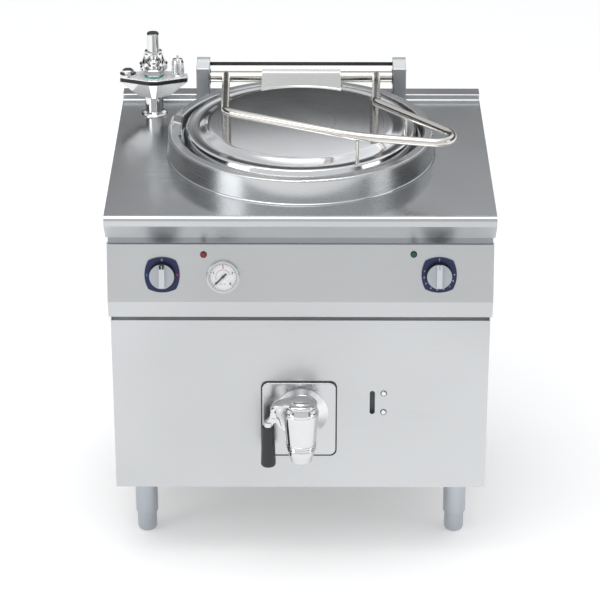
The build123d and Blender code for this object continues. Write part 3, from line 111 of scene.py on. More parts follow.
def set_stops(node, stops, tint):
    """Stops of a colour ramp node: (position, brightness) pairs, all of one tint."""
    elements = node.color_ramp.elements
    while len(elements) < len(stops):
        elements.new(0.5)
    for element, (position, brightness) in zip(elements, stops):
        element.position = position
        element.color = (*(brightness * part for part in tint), 1)


floor_paint = bpy.data.materials.new("floor paint")
floor_paint.use_nodes = True
tree = floor_paint.node_tree
tree.nodes.clear()
matt = tree.nodes.new("ShaderNodeBsdfDiffuse")
matt.inputs["Color"].default_value = (floor_grey, floor_grey, floor_grey, 1)
glow = tree.nodes.new("ShaderNodeEmission")
path = tree.nodes.new("ShaderNodeLightPath")
seen = number(tree, "MAXIMUM", path.outputs["Is Camera Ray"], path.outputs["Is Glossy Ray"])
seen = number(tree, "MAXIMUM", seen, path.outputs["Is Transmission Ray"])
tree.links.new(number(tree, "MULTIPLY", seen, floor_lift), glow.inputs["Strength"])
both = tree.nodes.new("ShaderNodeAddShader")
tree.links.new(matt.outputs[0], both.inputs[0])
tree.links.new(glow.outputs[0], both.inputs[1])
floor_output = tree.nodes.new("ShaderNodeOutputMaterial")
tree.links.new(both.outputs[0], floor_output.inputs["Surface"])
floor_mesh.materials.append(floor_paint)

sky_light = 0.8
overhead_white = (1.6, 1.6, 1.6)
front_white = (0.92, 0.93, 0.94)
seen_white = (0.93, 0.935, 0.94, 1)
flag_black = (0.03, 0.03, 0.035)
band_tint = (1.0, 1.01, 1.03)
band_tones = (  # rise in the sky, from 0 at the horizon to 1 overhead, and brightness
    (0.32, 0.10),
    (0.38, 0.14),
    (0.415, 0.60),
    (0.44, 1.15),
    (0.475, 1.15),
    (0.51, 0.50),
    (0.56, 1.15),
    (0.68, 1.0),
    (0.78, 0.92),
)
sky = bpy.data.worlds.new("studio sky")
bpy.context.scene.world = sky
sky.use_nodes = True
tree = sky.node_tree
tree.nodes.clear()
direction = tree.nodes.new("ShaderNodeTexCoord")
split = tree.nodes.new("ShaderNodeSeparateXYZ")
tree.links.new(direction.outputs["Generated"], split.inputs[0])
path = tree.nodes.new("ShaderNodeLightPath")
glossy = path.outputs["Is Glossy Ray"]
rear_bands = tree.nodes.new("ShaderNodeValToRGB")
set_stops(rear_bands, band_tones, band_tint)
tree.links.new(split.outputs["Z"], rear_bands.inputs[0])
brighter_right = ramp(tree, split.outputs["X"], -0.10, 0.10, 0.80, 1.20, "LINEAR")
shaded_bands = tree.nodes.new("ShaderNodeVectorMath")
shaded_bands.operation = "SCALE"
tree.links.new(rear_bands.outputs["Color"], shaded_bands.inputs[0])
tree.links.new(brighter_right, shaded_bands.inputs["Scale"])
to_rear = ramp(tree, split.outputs["Y"], 0.1, 0.6)
tone = mixed(tree, to_rear, front_white, shaded_bands.outputs[0])
to_side = ramp(tree, number(tree, "ABSOLUTE", split.outputs["X"], 0.0), 0.70, 0.84)
low_down = ramp(tree, split.outputs["Z"], 0.42, 0.55, 1.0, 0.0)
flag = number(tree, "MULTIPLY", number(tree, "MULTIPLY", to_side, low_down), glossy)
tone = mixed(tree, flag, tone, flag_black)
overhead = number(tree, "MULTIPLY", ramp(tree, split.outputs["Z"], 0.86, 0.97), glossy)
tone = mixed(tree, overhead, tone, overhead_white)
backdrop = tree.nodes.new("ShaderNodeBackground")
backdrop.inputs["Strength"].default_value = sky_light
tree.links.new(tone, backdrop.inputs["Color"])
white = tree.nodes.new("ShaderNodeBackground")
white.inputs["Color"].default_value = seen_white
chosen = tree.nodes.new("ShaderNodeMixShader")
tree.links.new(path.outputs["Is Camera Ray"], chosen.inputs[0])
tree.links.new(backdrop.outputs[0], chosen.inputs[1])
tree.links.new(white.outputs[0], chosen.inputs[2])
sky_output = tree.nodes.new("ShaderNodeOutputWorld")
tree.links.new(chosen.outputs[0], sky_output.inputs["Surface"])

for box_name, place, aim_z, size, watts in (
    ("overhead box", (-0.6, -0.9, 4.2), 0.6, 2.6, 52),
    ("left box", (-3.6, -2.0, 2.2), 0.6, 1.6, 22),
    ("right box", (3.8, -1.4, 1.8), 0.5, 1.4, 12),
):
    lamp_data = bpy.data.lights.new(box_name, "AREA")
    lamp_data.shape = "SQUARE"
    lamp_data.size = size
    lamp_data.energy = watts
    lamp = bpy.data.objects.new(box_name, lamp_data)
    lamp.location = place
    lamp.rotation_mode = "QUATERNION"
    lamp.rotation_quaternion = (Vector((0, 0, aim_z)) - Vector(place)).to_track_quat("-Z", "Y")
    bpy.context.scene.collection.objects.link(lamp)


def noise(tree, place, scale, detail):
    """Noise texture node over a place."""
    node = tree.nodes.new("ShaderNodeTexNoise")
    node.inputs["Scale"].default_value = scale
    node.inputs["Detail"].default_value = detail
    tree.links.new(place, node.inputs["Vector"])
    return node


def roughen(tree, height, strength, depth):
    """Fine relief on a material's skin, from a height; its depth is in metres."""
    node = tree.nodes.new("ShaderNodeBump")
    node.inputs["Strength"].default_value = strength
    node.inputs["Distance"].default_value = depth
    tree.links.new(height, node.inputs["Height"])
    tree.links.new(node.outputs[0], tree.nodes["Principled BSDF"].inputs["Normal"])


def along_and_round(tree, place, centre, line):
    """Place on a turned piece: its distance from the line it was turned about, and along it."""
    shift = tree.nodes.new("ShaderNodeVectorMath")
    shift.operation = "SUBTRACT"
    shift.inputs[1].default_value = centre
    tree.links.new(place, shift.inputs[0])
    parts = tree.nodes.new("ShaderNodeSeparateXYZ")
    tree.links.new(shift.outputs[0], parts.inputs[0])
    across = [parts.outputs[axis] for axis in "XYZ" if axis != line]
    squares = [number(tree, "MULTIPLY", part, part) for part in across]
    radius = number(tree, "SQRT", number(tree, "ADD", *squares), 0.0)
    turned_place = tree.nodes.new("ShaderNodeCombineXYZ")
    tree.links.new(radius, turned_place.inputs["X"])
    tree.links.new(parts.outputs[line], turned_place.inputs["Z"])
    return turned_place.outputs[0]


def stainless(
    name,
    colour,
    roughness,
    grain=(60, 60, 60),
    streak=0.03,
    relief=0.0,
    turned=None,
    patchy=0.03,
    metallic=1.0,
):
    """Stainless steel. Grain is how fine its lines are along X, Y and Z, per metre; on a turned
    piece, given as (place, line it was turned about), X is across the radius and Z along the line.
    Streak and patchy are how much the roughness changes from line to line and from place to place.
    """
    metal = bpy.data.materials.new(name)
    metal.use_nodes = True
    tree = metal.node_tree
    skin = tree.nodes["Principled BSDF"]
    skin.inputs["Metallic"].default_value = metallic
    place = tree.nodes.new("ShaderNodeTexCoord").outputs["Object"]
    stretch = tree.nodes.new("ShaderNodeMapping")
    stretch.inputs["Scale"].default_value = grain
    lined_place = along_and_round(tree, place, *turned) if turned else place
    tree.links.new(lined_place, stretch.inputs["Vector"])
    line_noise = noise(tree, stretch.outputs[0], 1.0, 4.0)
    line_noise.inputs["Roughness"].default_value = 0.6
    lines = line_noise.outputs["Fac"]
    patches = noise(tree, place, 5.0, 2.0).outputs["Fac"]
    clouds = noise(tree, place, 2.2, 1.0).outputs["Fac"]

    wear = ramp(tree, lines, 0.25, 0.75, roughness - streak, roughness + streak, "LINEAR")
    haze = ramp(tree, patches, 0.3, 0.7, -patchy, patchy, "LINEAR")
    tree.links.new(number(tree, "ADD", wear, haze), skin.inputs["Roughness"])

    pale = tuple(min(1.0, 1.04 * part) for part in colour)
    deep = tuple(0.95 * part for part in colour)
    clouded = tree.nodes.new("ShaderNodeMix")
    clouded.data_type = "RGBA"
    clouded.blend_type = "MULTIPLY"
    clouded.inputs[0].default_value = 1.0
    tree.links.new(mixed(tree, lines, deep, pale), clouded.inputs[6])
    tree.links.new(ramp(tree, clouds, 0.3, 0.7, 0.93, 1.06, "LINEAR"), clouded.inputs[7])
    tree.links.new(clouded.outputs[2], skin.inputs["Base Color"])
    if relief:
        roughen(tree, lines, 1.0, relief)
    return metal


def dress(material, *names):
    """Gives CAD nodes their finish."""
    for name in names:
        mesh = nodes[name].data
        mesh.materials.clear()
        mesh.materials.append(material)


def dress_faces(name, material, chosen):
    """Gives some faces of a CAD node a second finish: chosen is asked with a face's middle and
    direction."""
    mesh = nodes[name].data
    mesh.materials.append(material)
    slot = len(mesh.materials) - 1
    for face in mesh.polygons:
        if chosen(face.center, face.normal):
            face.material_index = slot


frame_tube = stainless("frame tube steel", (0.48, 0.49, 0.50), 0.38, (30, 30, 30), 0.06)
dress(frame_tube, "base_frame", "upper_frame")

# --------------------------------------------------------------------------------------------------
# Legs: satin tube sleeves on bolted plates, each with a foot that screws in and out.
# The feet are turned from bar and close the sleeves at the bottom.
# --------------------------------------------------------------------------------------------------
leg_tube = stainless("satin leg tube", (0.47, 0.50, 0.54), 0.30, (40, 40, 2), 0.06)
dress(leg_tube, "leg_sleeves")
dress(leg_tube, "foot_front_left", "foot_front_right", "foot_rear_left", "foot_rear_right")

# --------------------------------------------------------------------------------------------------
# Worktop and cabinet sheets: stainless steel brushed along the front, and upwards at the sides.
# The worktop is one sheet with a hem folded down in front and a raised shelf along the back.
# The back panel is held by two rows of domed screws.
# --------------------------------------------------------------------------------------------------
mm = 0.001
sheet_grey = (0.60, 0.61, 0.62)
lines_along = (2.5, 900, 900)
lines_upwards = (900, 900, 2.5)
hem_top = 0.84
brushed_across = stainless("sheet brushed across", sheet_grey, 0.33, lines_along, 0.06, 0.00002)
brushed_up = stainless("sheet brushed upwards", sheet_grey, 0.36, lines_upwards, 0.06, 0.00002)
head_steel = stainless("head strip steel", (0.40, 0.42, 0.44), 0.36, lines_along, 0.06, 0.00002)
top_steel = stainless("brushed top steel", (0.56, 0.575, 0.585), 0.22, lines_along, 0.05, 0.00001)
hem_steel = stainless("brushed hem steel", sheet_grey, 0.36, lines_along, 0.05, 0.00001)


def on_hem(spot, way):
    """Whether a face lies on the worktop's front hem."""
    return way.z < -0.25 and way.y < -0.25 and spot.z < hem_top


dress(brushed_across, "control_panel", "front_panel", "back_panel")
dress(top_steel, "worktop")
dress_faces("worktop", hem_steel, on_hem)
dress(head_steel, "head_strip")
dress(brushed_up, "side_panels")


def new_piece(name, mesh, material, sharp=35):
    """Piece made from a mesh, smooth except at edges sharper than so many degrees."""
    mesh.materials.append(material)
    mesh.polygons.foreach_set("use_smooth", [True] * len(mesh.polygons))
    mesh.set_sharp_from_angle(angle=math.radians(sharp))
    made = bpy.data.objects.new(name, mesh)
    bpy.context.scene.collection.objects.link(made)
    return made


def closed_mesh(name, work):
    """Mesh of a finished solid skin, its faces turned outwards."""
    bmesh.ops.recalc_face_normals(work, faces=work.faces)
    mesh = bpy.data.meshes.new(name)
    work.to_mesh(mesh)
    work.free()
    return mesh


def spun(name, outline, foot, line=(0, 0, 1), steps=96):
    """Mesh of a round piece: its closed outline, (radius, height) in millimetres, turned about a
    line through foot. A point on the line becomes one vertex."""
    turn_to = Vector((0, 0, 1)).rotation_difference(Vector(line)).to_matrix().to_4x4()
    to_place = Matrix.Translation(Vector(foot)) @ turn_to
    work = bmesh.new()
    hoops = []
    for radius, rise in outline:
        if radius < 1e-6:
            hoops.append([work.verts.new(to_place @ Vector((0, 0, rise * mm)))] * steps)
            continue
        hoop = []
        for step in range(steps):
            angle = 2 * math.pi * step / steps
            across, ahead = radius * mm * math.cos(angle), radius * mm * math.sin(angle)
            hoop.append(work.verts.new(to_place @ Vector((across, ahead, rise * mm))))
        hoops.append(hoop)
    for first, second in zip(hoops, hoops[1:] + hoops[:1]):
        if first[0] is first[1] and second[0] is second[1]:
            continue
        for step in range(steps):
            after = (step + 1) % steps
            ring = [first[step], first[after], second[after], second[step]]
            work.faces.new(list(dict.fromkeys(ring)))
    return closed_mesh(name, work)


def dome(radius, rise, steps=6):
    """Outline of a domed screw head, flat underneath."""
    angles = [math.pi / 2 * step / steps for step in range(steps)]
    curve = [(radius * math.cos(angle), rise * math.sin(angle)) for angle in angles]
    return [(0, 0.0), *curve, (0, rise)]


screw_steel = stainless("screw steel", (0.55, 0.56, 0.57), 0.22)
screw_head = dome(radius=4.5, rise=2.0)
screw_out = (0, 1, 0)
back_face_y = 0.350
side_inset = 0.380
screw_rises = (0.215, 0.425, 0.635, 0.815)
for label, side in (("left", -1), ("right", 1)):
    for count, rise in enumerate(screw_rises, 1):
        screw_foot = (side * side_inset, back_face_y, rise)
        head = spun("screw", screw_head, screw_foot, screw_out, steps=24)
        screw = new_piece(f"back_screw_{label}_{count}", head, screw_steel)
        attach(screw, "cabinet")

# --------------------------------------------------------------------------------------------------
# Pan and its ring: deep drawn stainless steel, satin turned outside, with a steam jacket below and
# heating elements in the jacket's water. The ring stands on the worktop in a smooth weld bead.
# --------------------------------------------------------------------------------------------------
pan_centre = (0.0, 0.023, 0.0)
upright = (pan_centre, "Z")
turned_steel = stainless(
    "turned satin steel", sheet_grey, 0.25, (700, 1, 700), 0.05, 0.00002, upright
)
pan_steel = stainless("satin pan steel", sheet_grey, 0.30, (500, 1, 500), 0.05, 0.00002, upright)
jacket_steel = stainless("jacket steel", (0.34, 0.35, 0.37), 0.42, (25, 25, 25), 0.08)
element_steel = stainless("heater sheath", (0.20, 0.21, 0.22), 0.40, (90, 90, 90), 0.08)
dress(turned_steel, "pan_ring")
dress(pan_steel, "inner_pan")
dress(jacket_steel, "steam_jacket")
dress(element_steel, "heating_elements")

bead_radius = 286.3
bead_height = 850.6
bead_size = 2.4
bead_angles = [2 * math.pi * step / 12 for step in range(12)]
bead_outline = [
    (bead_radius + bead_size * math.cos(angle), bead_height + bead_size * math.sin(angle))
    for angle in bead_angles
]
bead_mesh = spun("ring weld", bead_outline, pan_centre, steps=192)
bead_steel = stainless("bright weld bead", (0.72, 0.73, 0.74), 0.16, (160, 160, 160), 0.05, 0.00005)
ring_weld = new_piece("ring_weld", bead_mesh, bead_steel, sharp=60)
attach(ring_weld, "cabinet")

# --------------------------------------------------------------------------------------------------
# Pipes: drawn stainless tube, bent cold and welded or screwed to the jacket and the valves.
# They drain the pan, bring steam to the valve group, and carry water to the pan and the jacket.
# --------------------------------------------------------------------------------------------------
pipe_steel = stainless("drawn tube steel", (0.50, 0.51, 0.52), 0.28, (50, 50, 50), 0.05)
dress(pipe_steel, "drain_pipe", "steam_pipe", "water_supply_pipes", "fill_and_gauge_pipes")

# --------------------------------------------------------------------------------------------------
# Water inlet hood: a small box pressed from satin stainless sheet.
# It is welded on the ring over the end of the filling pipe and turns the water down into the pan.
# --------------------------------------------------------------------------------------------------
hood_steel = stainless("satin hood steel", (0.62, 0.63, 0.64), 0.22, (400, 3, 400), 0.05)
dress(hood_steel, "water_inlet_hood")

# --------------------------------------------------------------------------------------------------
# Lid hinge: two blasted castings whose tops are painted pale as a painted highlight, joined by a
# thin dark strap.
# The polished hinge tube turns between them in black plastic bushes.
# --------------------------------------------------------------------------------------------------


def moulded(name, colour, roughness, speckle=0.06, fine=900, relief=0.00002, metallic=0.0):
    """Plastic, rubber or paint with a fine moulded skin: speckle is how much its colour changes,
    fine how many pores it has per metre."""
    stuff = bpy.data.materials.new(name)
    stuff.use_nodes = True
    tree = stuff.node_tree
    skin = tree.nodes["Principled BSDF"]
    skin.inputs["Metallic"].default_value = metallic
    place = tree.nodes.new("ShaderNodeTexCoord").outputs["Object"]
    pores = noise(tree, place, fine, 3.0).outputs["Fac"]
    pale = tuple(min(1.0, (1 + speckle) * part) for part in colour)
    deep = tuple((1 - speckle) * part for part in colour)
    tree.links.new(mixed(tree, pores, deep, pale), skin.inputs["Base Color"])
    wear = ramp(tree, pores, 0.3, 0.7, roughness - 0.04, roughness + 0.04, "LINEAR")
    tree.links.new(wear, skin.inputs["Roughness"])
    roughen(tree, pores, 0.6, relief)
    return stuff


strap_half = 0.2045
strap_front_y = 0.3484
post_crown_z = 0.925
post_casting = stainless(
    "blasted post casting", (0.50, 0.52, 0.54), 0.34, (350, 350, 350), 0.05, 0.00003
)
# Painted highlight: the post tops get a pale, less metallic copy of the casting steel, lighter
# because light falls on them from above.
post_top_painted_highlight = stainless(
    "post top painted highlight", (0.92, 0.93, 0.94), 0.30, (300, 300, 300), 0.05, metallic=0.35
)
strap_black = moulded("strap black", (0.012, 0.012, 0.013), 0.35)
bush_black = moulded("bush plastic", (0.03, 0.03, 0.03), 0.5)
polished = stainless(
    "polished tube steel", (0.72, 0.69, 0.63), 0.10, (25, 25, 25), 0.02, patchy=0.01
)


def on_crown(spot, way):
    """Whether a face lies on top of a hinge post."""
    return way.z > 0.7 and spot.z > post_crown_z


def on_strap(spot, way):
    """Whether a face lies on the strap between the hinge posts."""
    return abs(spot.x) < strap_half and spot.y > strap_front_y


dress(post_casting, "hinge_posts")
dress_faces("hinge_posts", post_top_painted_highlight, on_crown)
dress_faces("hinge_posts", strap_black, on_strap)
dress(bush_black, "hinge_bushes")
dress(polished, "hinge_tube")

# --------------------------------------------------------------------------------------------------
# Lid: a spun satin dish with a raised crown, a dished shoulder and a flared skirt that hangs over
# the pan, carried by a bracket welded to the hinge tube.
# --------------------------------------------------------------------------------------------------
lid_sheet = 2
crown_middle = 920.2
crown_edge = (196.0, 916.6)
crown_bow = (crown_middle - crown_edge[1]) / crown_edge[0] ** 2
crown_radii = (30, 60, 90, 120, 150, 175, 190)
outer_side = [(0, crown_middle)]
outer_side += [(radius, crown_middle - crown_bow * radius * radius) for radius in crown_radii]
outer_side += [crown_edge, (199.2, 915.8), (201.6, 914.2), (213.6, 909.1), (216.6, 908.2)]
outer_side += [(221, 907.7), (232, 908.5), (240, 909.2), (243.2, 908.9), (245.0, 907.6)]
outer_side += [(245.9, 905.4), (250.6, 892.2)]
inner_side = [(248.6, 891.9), (244.2, 904.8), (242.6, 906.6), (232, 906.2), (221, 905.7)]
inner_side += [(214.6, 906.4), (200.8, 912.2), (197.6, 914.2), (194.0, 914.8)]
inner_side += [
    (radius, crown_middle - lid_sheet - crown_bow * radius * radius)
    for radius in reversed(crown_radii)
]
inner_side += [(0, crown_middle - lid_sheet)]
lid_steel = stainless(
    "spun lid steel", (0.80, 0.81, 0.82), 0.13, (600, 1, 600), 0.05, 0.00002, upright
)
lid_mesh = spun("lid shell", outer_side + inner_side, pan_centre, steps=192)
lid_shell = new_piece("lid_shell", lid_mesh, lid_steel, sharp=40)
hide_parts("lid")
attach(lid_shell, "lid")
bracket_steel = stainless(
    "bracket sheet steel", (0.86, 0.86, 0.84), 0.24, (3, 300, 300), 0.05, metallic=0.55
)
dress(bracket_steel, "lid_bracket")

# --------------------------------------------------------------------------------------------------
# Lid handle: one stainless tube bent cold and polished, welded to the hinge tube at both ends,
# standing clear of the lid on two thin studs.
# --------------------------------------------------------------------------------------------------


def lofted(name, work, hoops):
    """Mesh of a skin laid over rings of vertices, with a flat face at each end."""
    sides = len(hoops[0])
    for first, second in zip(hoops, hoops[1:]):
        for step in range(sides):
            after = (step + 1) % sides
            work.faces.new([first[step], first[after], second[after], second[step]])
    work.faces.new(hoops[0])
    work.faces.new(hoops[-1])
    return closed_mesh(name, work)


def bent_tube(name, corners, bends, radius, sides=24, bend_steps=14):
    """Mesh of a tube with rounded bends: bends are the radii of the inner corners."""
    points = [Vector(corner) * mm for corner in corners]
    line = [points[0]]
    for before, corner, after, bend in zip(points, points[1:], points[2:], bends):
        back = (before - corner).normalized()
        ahead = (after - corner).normalized()
        half = back.angle(ahead) / 2
        run = bend * mm / math.tan(half)
        middle = corner + (back + ahead).normalized() * (bend * mm / math.sin(half))
        first = corner + back * run - middle
        last = corner + ahead * run - middle
        swing = first.angle(last)
        for step in range(bend_steps + 1):
            part = step / bend_steps
            mix = first * math.sin((1 - part) * swing) + last * math.sin(part * swing)
            line.append(middle + mix / math.sin(swing))
    line.append(points[-1])
    work = bmesh.new()
    hoops = []
    side = Vector((0, 0, 1))
    for place, spot in enumerate(line):
        before = line[max(place - 1, 0)]
        after = line[min(place + 1, len(line) - 1)]
        along = (after - before).normalized()
        side = (side - along * side.dot(along)).normalized()
        across = along.cross(side)
        hoop = []
        for step in range(sides):
            angle = 2 * math.pi * step / sides
            outwards = side * math.cos(angle) + across * math.sin(angle)
            hoop.append(work.verts.new(spot + outwards * radius * mm))
        hoops.append(hoop)
    return lofted(name, work, hoops)


handle_height = 967.0
handle_radius = 9.0
handle_bends = (36.0, 300.0, 34.0, 32.0)
handle_route = [
    (-168.4, 322.0, 904.5),
    (-159.0, -44.0, handle_height),
    (116.0, -179.0, handle_height),
    (370.0, -229.0, handle_height),
    (158.5, 11.0, handle_height),
    (168.4, 322.0, 904.5),
]
handle_mesh = bent_tube("handle tube", handle_route, handle_bends, handle_radius)
handle_steel = stainless(
    "polished handle steel", (0.74, 0.71, 0.67), 0.19, (25, 25, 25), 0.02, patchy=0.01
)
handle_tube = new_piece("handle_tube", handle_mesh, handle_steel, sharp=60)
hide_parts("lid_handle")
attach(handle_tube, "lid")
dress(handle_steel, "handle_studs")

# --------------------------------------------------------------------------------------------------
# Valve group: chromed brass pieces on a column that brings steam up from the jacket.
# A black band painted round the top plate's edge is a painted dark reflection, its top face is
# painted pale as a painted highlight, and a teal ring lies under the safety valve's nut.
# --------------------------------------------------------------------------------------------------
plate_low, plate_high = 0.9275, 0.9368
chrome = stainless("bright chrome", (0.80, 0.80, 0.80), 0.07, (30, 30, 30), 0.02, patchy=0.01)
# Black for painted shade and painted dark reflections: the manifold plate's edge, the plate round
# the escutcheon and the discs round the sight screws.
painted_shade_and_reflection_black = moulded("painted shade and reflection black", (0.008, 0.008, 0.009), 0.25)
teal_seal = moulded("teal sealing ring", (0.02, 0.26, 0.22), 0.45)
# Painted highlight: the plate's upward face is a pale, less metallic copy of the chrome.
plate_top_painted_highlight = stainless(
    "manifold top painted highlight", (0.90, 0.91, 0.92), 0.30, (200, 200, 200), 0.05, metallic=0.45
)


def round_plate_edge(spot, way):
    """Whether a face lies on the edge of the manifold's top plate."""
    return plate_low < spot.z < plate_high and abs(way.z) < 0.3


def on_plate(spot, way):
    """Whether a face looks up from the manifold's top plate."""
    return way.z > 0.7 and spot.z > plate_low


dress(chrome, "valve_column", "valve_manifold", "breather_valve", "filler_plug")
dress(chrome, "safety_valve", "safety_valve_cap")
dress(teal_seal, "valve_gasket")
# Painted reflection: the plate's edge is coloured black where the chrome would reflect dark.
dress_faces("valve_manifold", painted_shade_and_reflection_black, round_plate_edge)
dress_faces("valve_manifold", plate_top_painted_highlight, on_plate)

# --------------------------------------------------------------------------------------------------
# Draw-off tap: chromed body on a spun flange and a flat escutcheon, with a taper plug, a lever and
# a folding grip. A thin black plate behind the escutcheon, showing round its edge, is painted
# shade.
# --------------------------------------------------------------------------------------------------
tap_axis = (0.002, -0.315)
tap_foot = (*tap_axis, 0)
drain_height = 0.366
flange_line = ((tap_axis[0], 0.0, drain_height), "Y")
bronze = stainless("plug bronze", (0.55, 0.38, 0.18), 0.3, (80, 80, 80), 0.05)
grip_plastic = moulded("grip plastic", (0.022, 0.023, 0.027), 0.34)
tap_chrome = stainless("tap chrome", (0.74, 0.745, 0.75), 0.09, (30, 30, 30), 0.02, patchy=0.01)
plate_steel = stainless("escutcheon steel", (0.62, 0.63, 0.64), 0.20, lines_upwards, 0.04, 0.00001)
flange_steel = stainless(
    "spun flange steel", (0.62, 0.63, 0.64), 0.18, (500, 1, 500), 0.05, 0.00002, flange_line
)
# Painted highlights: the lathe's fans of light are painted in the colour. Each fan is a part of the
# turn round the flange, counted from -180 degrees up, and its painted brightness, set one by one.
painted_fan_tint = (1.0, 1.0, 1.01)
painted_fan_highlights = (
    (0.0, 0.62),
    (0.11, 0.85),
    (0.25, 0.6),
    (0.33, 0.85),
    (0.41, 0.45),
    (0.53, 0.8),
    (0.63, 1.0),
    (0.675, 0.85),
    (0.71, 0.5),
    (0.75, 0.72),
    (0.79, 0.48),
    (0.84, 0.85),
    (0.895, 1.0),
    (0.96, 0.8),
    (1.0, 0.62),
)
tree = flange_steel.node_tree
spot = tree.nodes.new("ShaderNodeSeparateXYZ")
tree.links.new(tree.nodes.new("ShaderNodeTexCoord").outputs["Object"], spot.inputs[0])
around = tree.nodes.new("ShaderNodeCombineXYZ")
tree.links.new(number(tree, "SUBTRACT", spot.outputs["X"], tap_axis[0]), around.inputs["X"])
tree.links.new(number(tree, "SUBTRACT", spot.outputs["Z"], drain_height), around.inputs["Y"])
turn = tree.nodes.new("ShaderNodeTexGradient")
turn.gradient_type = "RADIAL"
tree.links.new(around.outputs[0], turn.inputs[0])
gloss = tree.nodes.new("ShaderNodeValToRGB")
gloss.color_ramp.interpolation = "EASE"
set_stops(gloss, painted_fan_highlights, painted_fan_tint)
tree.links.new(turn.outputs["Fac"], gloss.inputs[0])
# The ramp's painted highlights take the place of the flange's base colour.
tree.links.new(gloss.outputs[0], tree.nodes["Principled BSDF"].inputs["Base Color"])
dress(plate_steel, "tap_escutcheon")
dress(flange_steel, "tap_flange")
dress(tap_chrome, "tap_body", "tap_bonnet", "lever_pin", "tap_shank")
dress(bronze, "tap_plug")
dress(grip_plastic, "tap_grip")

rings = ((323.0, 32.5), (316.6, 32.2), (310.4, 31.2))  # height and radius
neck_radius = 29.0
groove_outline = [(neck_radius, 326.0)]
for rise, radius in rings:
    groove_outline += [(radius - 0.7, rise + 1.7), (radius, rise + 0.6), (radius, rise - 0.6)]
    groove_outline += [(radius - 0.7, rise - 1.7), (neck_radius, rise - 2.3)]
groove_outline += [(27.5, 307.0), (24.0, 307.0), (24.0, 326.0)]
tap_rings = new_piece("tap_rings", spun("tap rings", groove_outline, tap_foot), tap_chrome, 50)
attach(tap_rings, "cabinet")

lever_foot = 412.6
head_outline = [(0, 427.2), (9, 426.9), (16, 425.8), (20.5, 424.0), (22.5, 422.4), (23.4, 421.3)]
head_outline += [(24.4, 421.3), (25.4, 422.3), (28.5, 421.9), (31.8, 420.4), (33.6, 418.2)]
head_outline += [(34.0, 415.6), (33.2, 413.4), (31.5, lever_foot), (0, lever_foot)]
lever_head = new_piece("lever_head", spun("lever head", head_outline, tap_foot), tap_chrome, 50)

arm_stations = (  # middle x and z, half width, half thickness, slope of the section in degrees
    (6, 417.0, 25.0, 4.0, 0),
    (-12, 417.6, 25.5, 4.6, 0),
    (-26, 417.4, 20.5, 5.0, 4),
    (-38, 416.2, 16.0, 5.4, 12),
    (-48, 413.0, 13.0, 5.8, 28),
    (-55, 407.6, 11.6, 6.2, 52),
    (-57.8, 402.0, 11.0, 6.2, 76),
    (-57.8, 398.6, 10.8, 6.0, 90),
    (-57.4, 396.0, 10.5, 5.7, 94),
)
section_steps = 28
squareness = 0.75
work = bmesh.new()
hoops = []
for middle_x, middle_z, half_width, half_thickness, slope in arm_stations:
    lean = math.radians(slope)
    hoop = []
    for step in range(section_steps):
        angle = 2 * math.pi * step / section_steps
        across, up = math.cos(angle), math.sin(angle)
        wide = math.copysign(abs(across) ** squareness, across) * half_width
        thick = math.copysign(abs(up) ** squareness, up) * half_thickness
        x = middle_x - thick * math.sin(lean)
        z = middle_z + thick * math.cos(lean)
        hoop.append(work.verts.new(Vector((x * mm, tap_axis[1] + wide * mm, z * mm))))
    hoops.append(hoop)
lever_arm = new_piece("lever_arm", lofted("lever arm", work, hoops), tap_chrome, sharp=60)
arm_bows = lever_arm.modifiers.new("bows", "SUBSURF")
arm_bows.levels = 2
arm_bows.render_levels = 2


def plate(name, outline, place, thickness):
    """Mesh of a flat plate: its outline in millimetres on a place, and how far it stands up."""
    work = bmesh.new()
    hoops = [
        [work.verts.new(place @ Vector((x * mm, y * mm, rise))) for x, y in outline]
        for rise in (0, thickness * mm)
    ]
    return lofted(name, work, hoops)


def rounded(width, height, corner, middle=(0.0, 0.0), steps=8):
    """Outline of a rounded rectangle."""
    outline = []
    for turn, (side_x, side_y) in enumerate(((1, 1), (-1, 1), (-1, -1), (1, -1))):
        for step in range(steps + 1):
            angle = math.pi / 2 * (turn + step / steps)
            outline.append((
                middle[0] + side_x * (width / 2 - corner) + corner * math.cos(angle),
                middle[1] + side_y * (height / 2 - corner) + corner * math.sin(angle),
            ))
    return outline


def facing_front(x, y, z):
    """Place on an upright face that looks to the front."""
    return Matrix(((1, 0, 0, x), (0, 0, -1, y), (0, 1, 0, z), (0, 0, 0, 1)))


def joined(name, meshes):
    """One mesh of several."""
    work = bmesh.new()
    for mesh in meshes:
        work.from_mesh(mesh)
    whole = bpy.data.meshes.new(name)
    work.to_mesh(whole)
    work.free()
    return whole


ear_inner, ear_thickness, ear_radius = 6.5, 4.0, 7.0
pin_x, pin_z = -57.0, 381.0
ear_angles = [math.pi * (1 + step / 12) for step in range(13)]
ear_outline = [(ear_radius * math.cos(a), ear_radius * math.sin(a)) for a in ear_angles]
ear_outline += [(6.4, 8.0), (4.6, 17.4), (-5.6, 17.4), (-6.8, 8.0)]
ears = []
for start in (-ear_inner, ear_inner + ear_thickness):
    ear_place = facing_front(pin_x * mm, tap_axis[1] + start * mm, pin_z * mm)
    ears.append(plate("ear", ear_outline, ear_place, ear_thickness))
lever_ears = new_piece("lever_ears", joined("lever ears", ears), tap_chrome, sharp=30)
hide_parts("tap_lever")
for lever_piece in (lever_head, lever_arm, lever_ears):
    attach(lever_piece, "tap_lever")

# Painted shade: a thin black plate just larger than the escutcheon darkens the band round its edge.
escutcheon_shade_outline = rounded(161.6, 179.6, 14.3)
escutcheon_shade_thickness = 2.6
escutcheon_shade_mesh = plate(
    "escutcheon painted shade", escutcheon_shade_outline, facing_front(-0.003, -0.2592, 0.3488), escutcheon_shade_thickness
)
escutcheon_painted_shade = new_piece("escutcheon_painted_shade", escutcheon_shade_mesh, painted_shade_and_reflection_black)
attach(escutcheon_painted_shade, "cabinet")

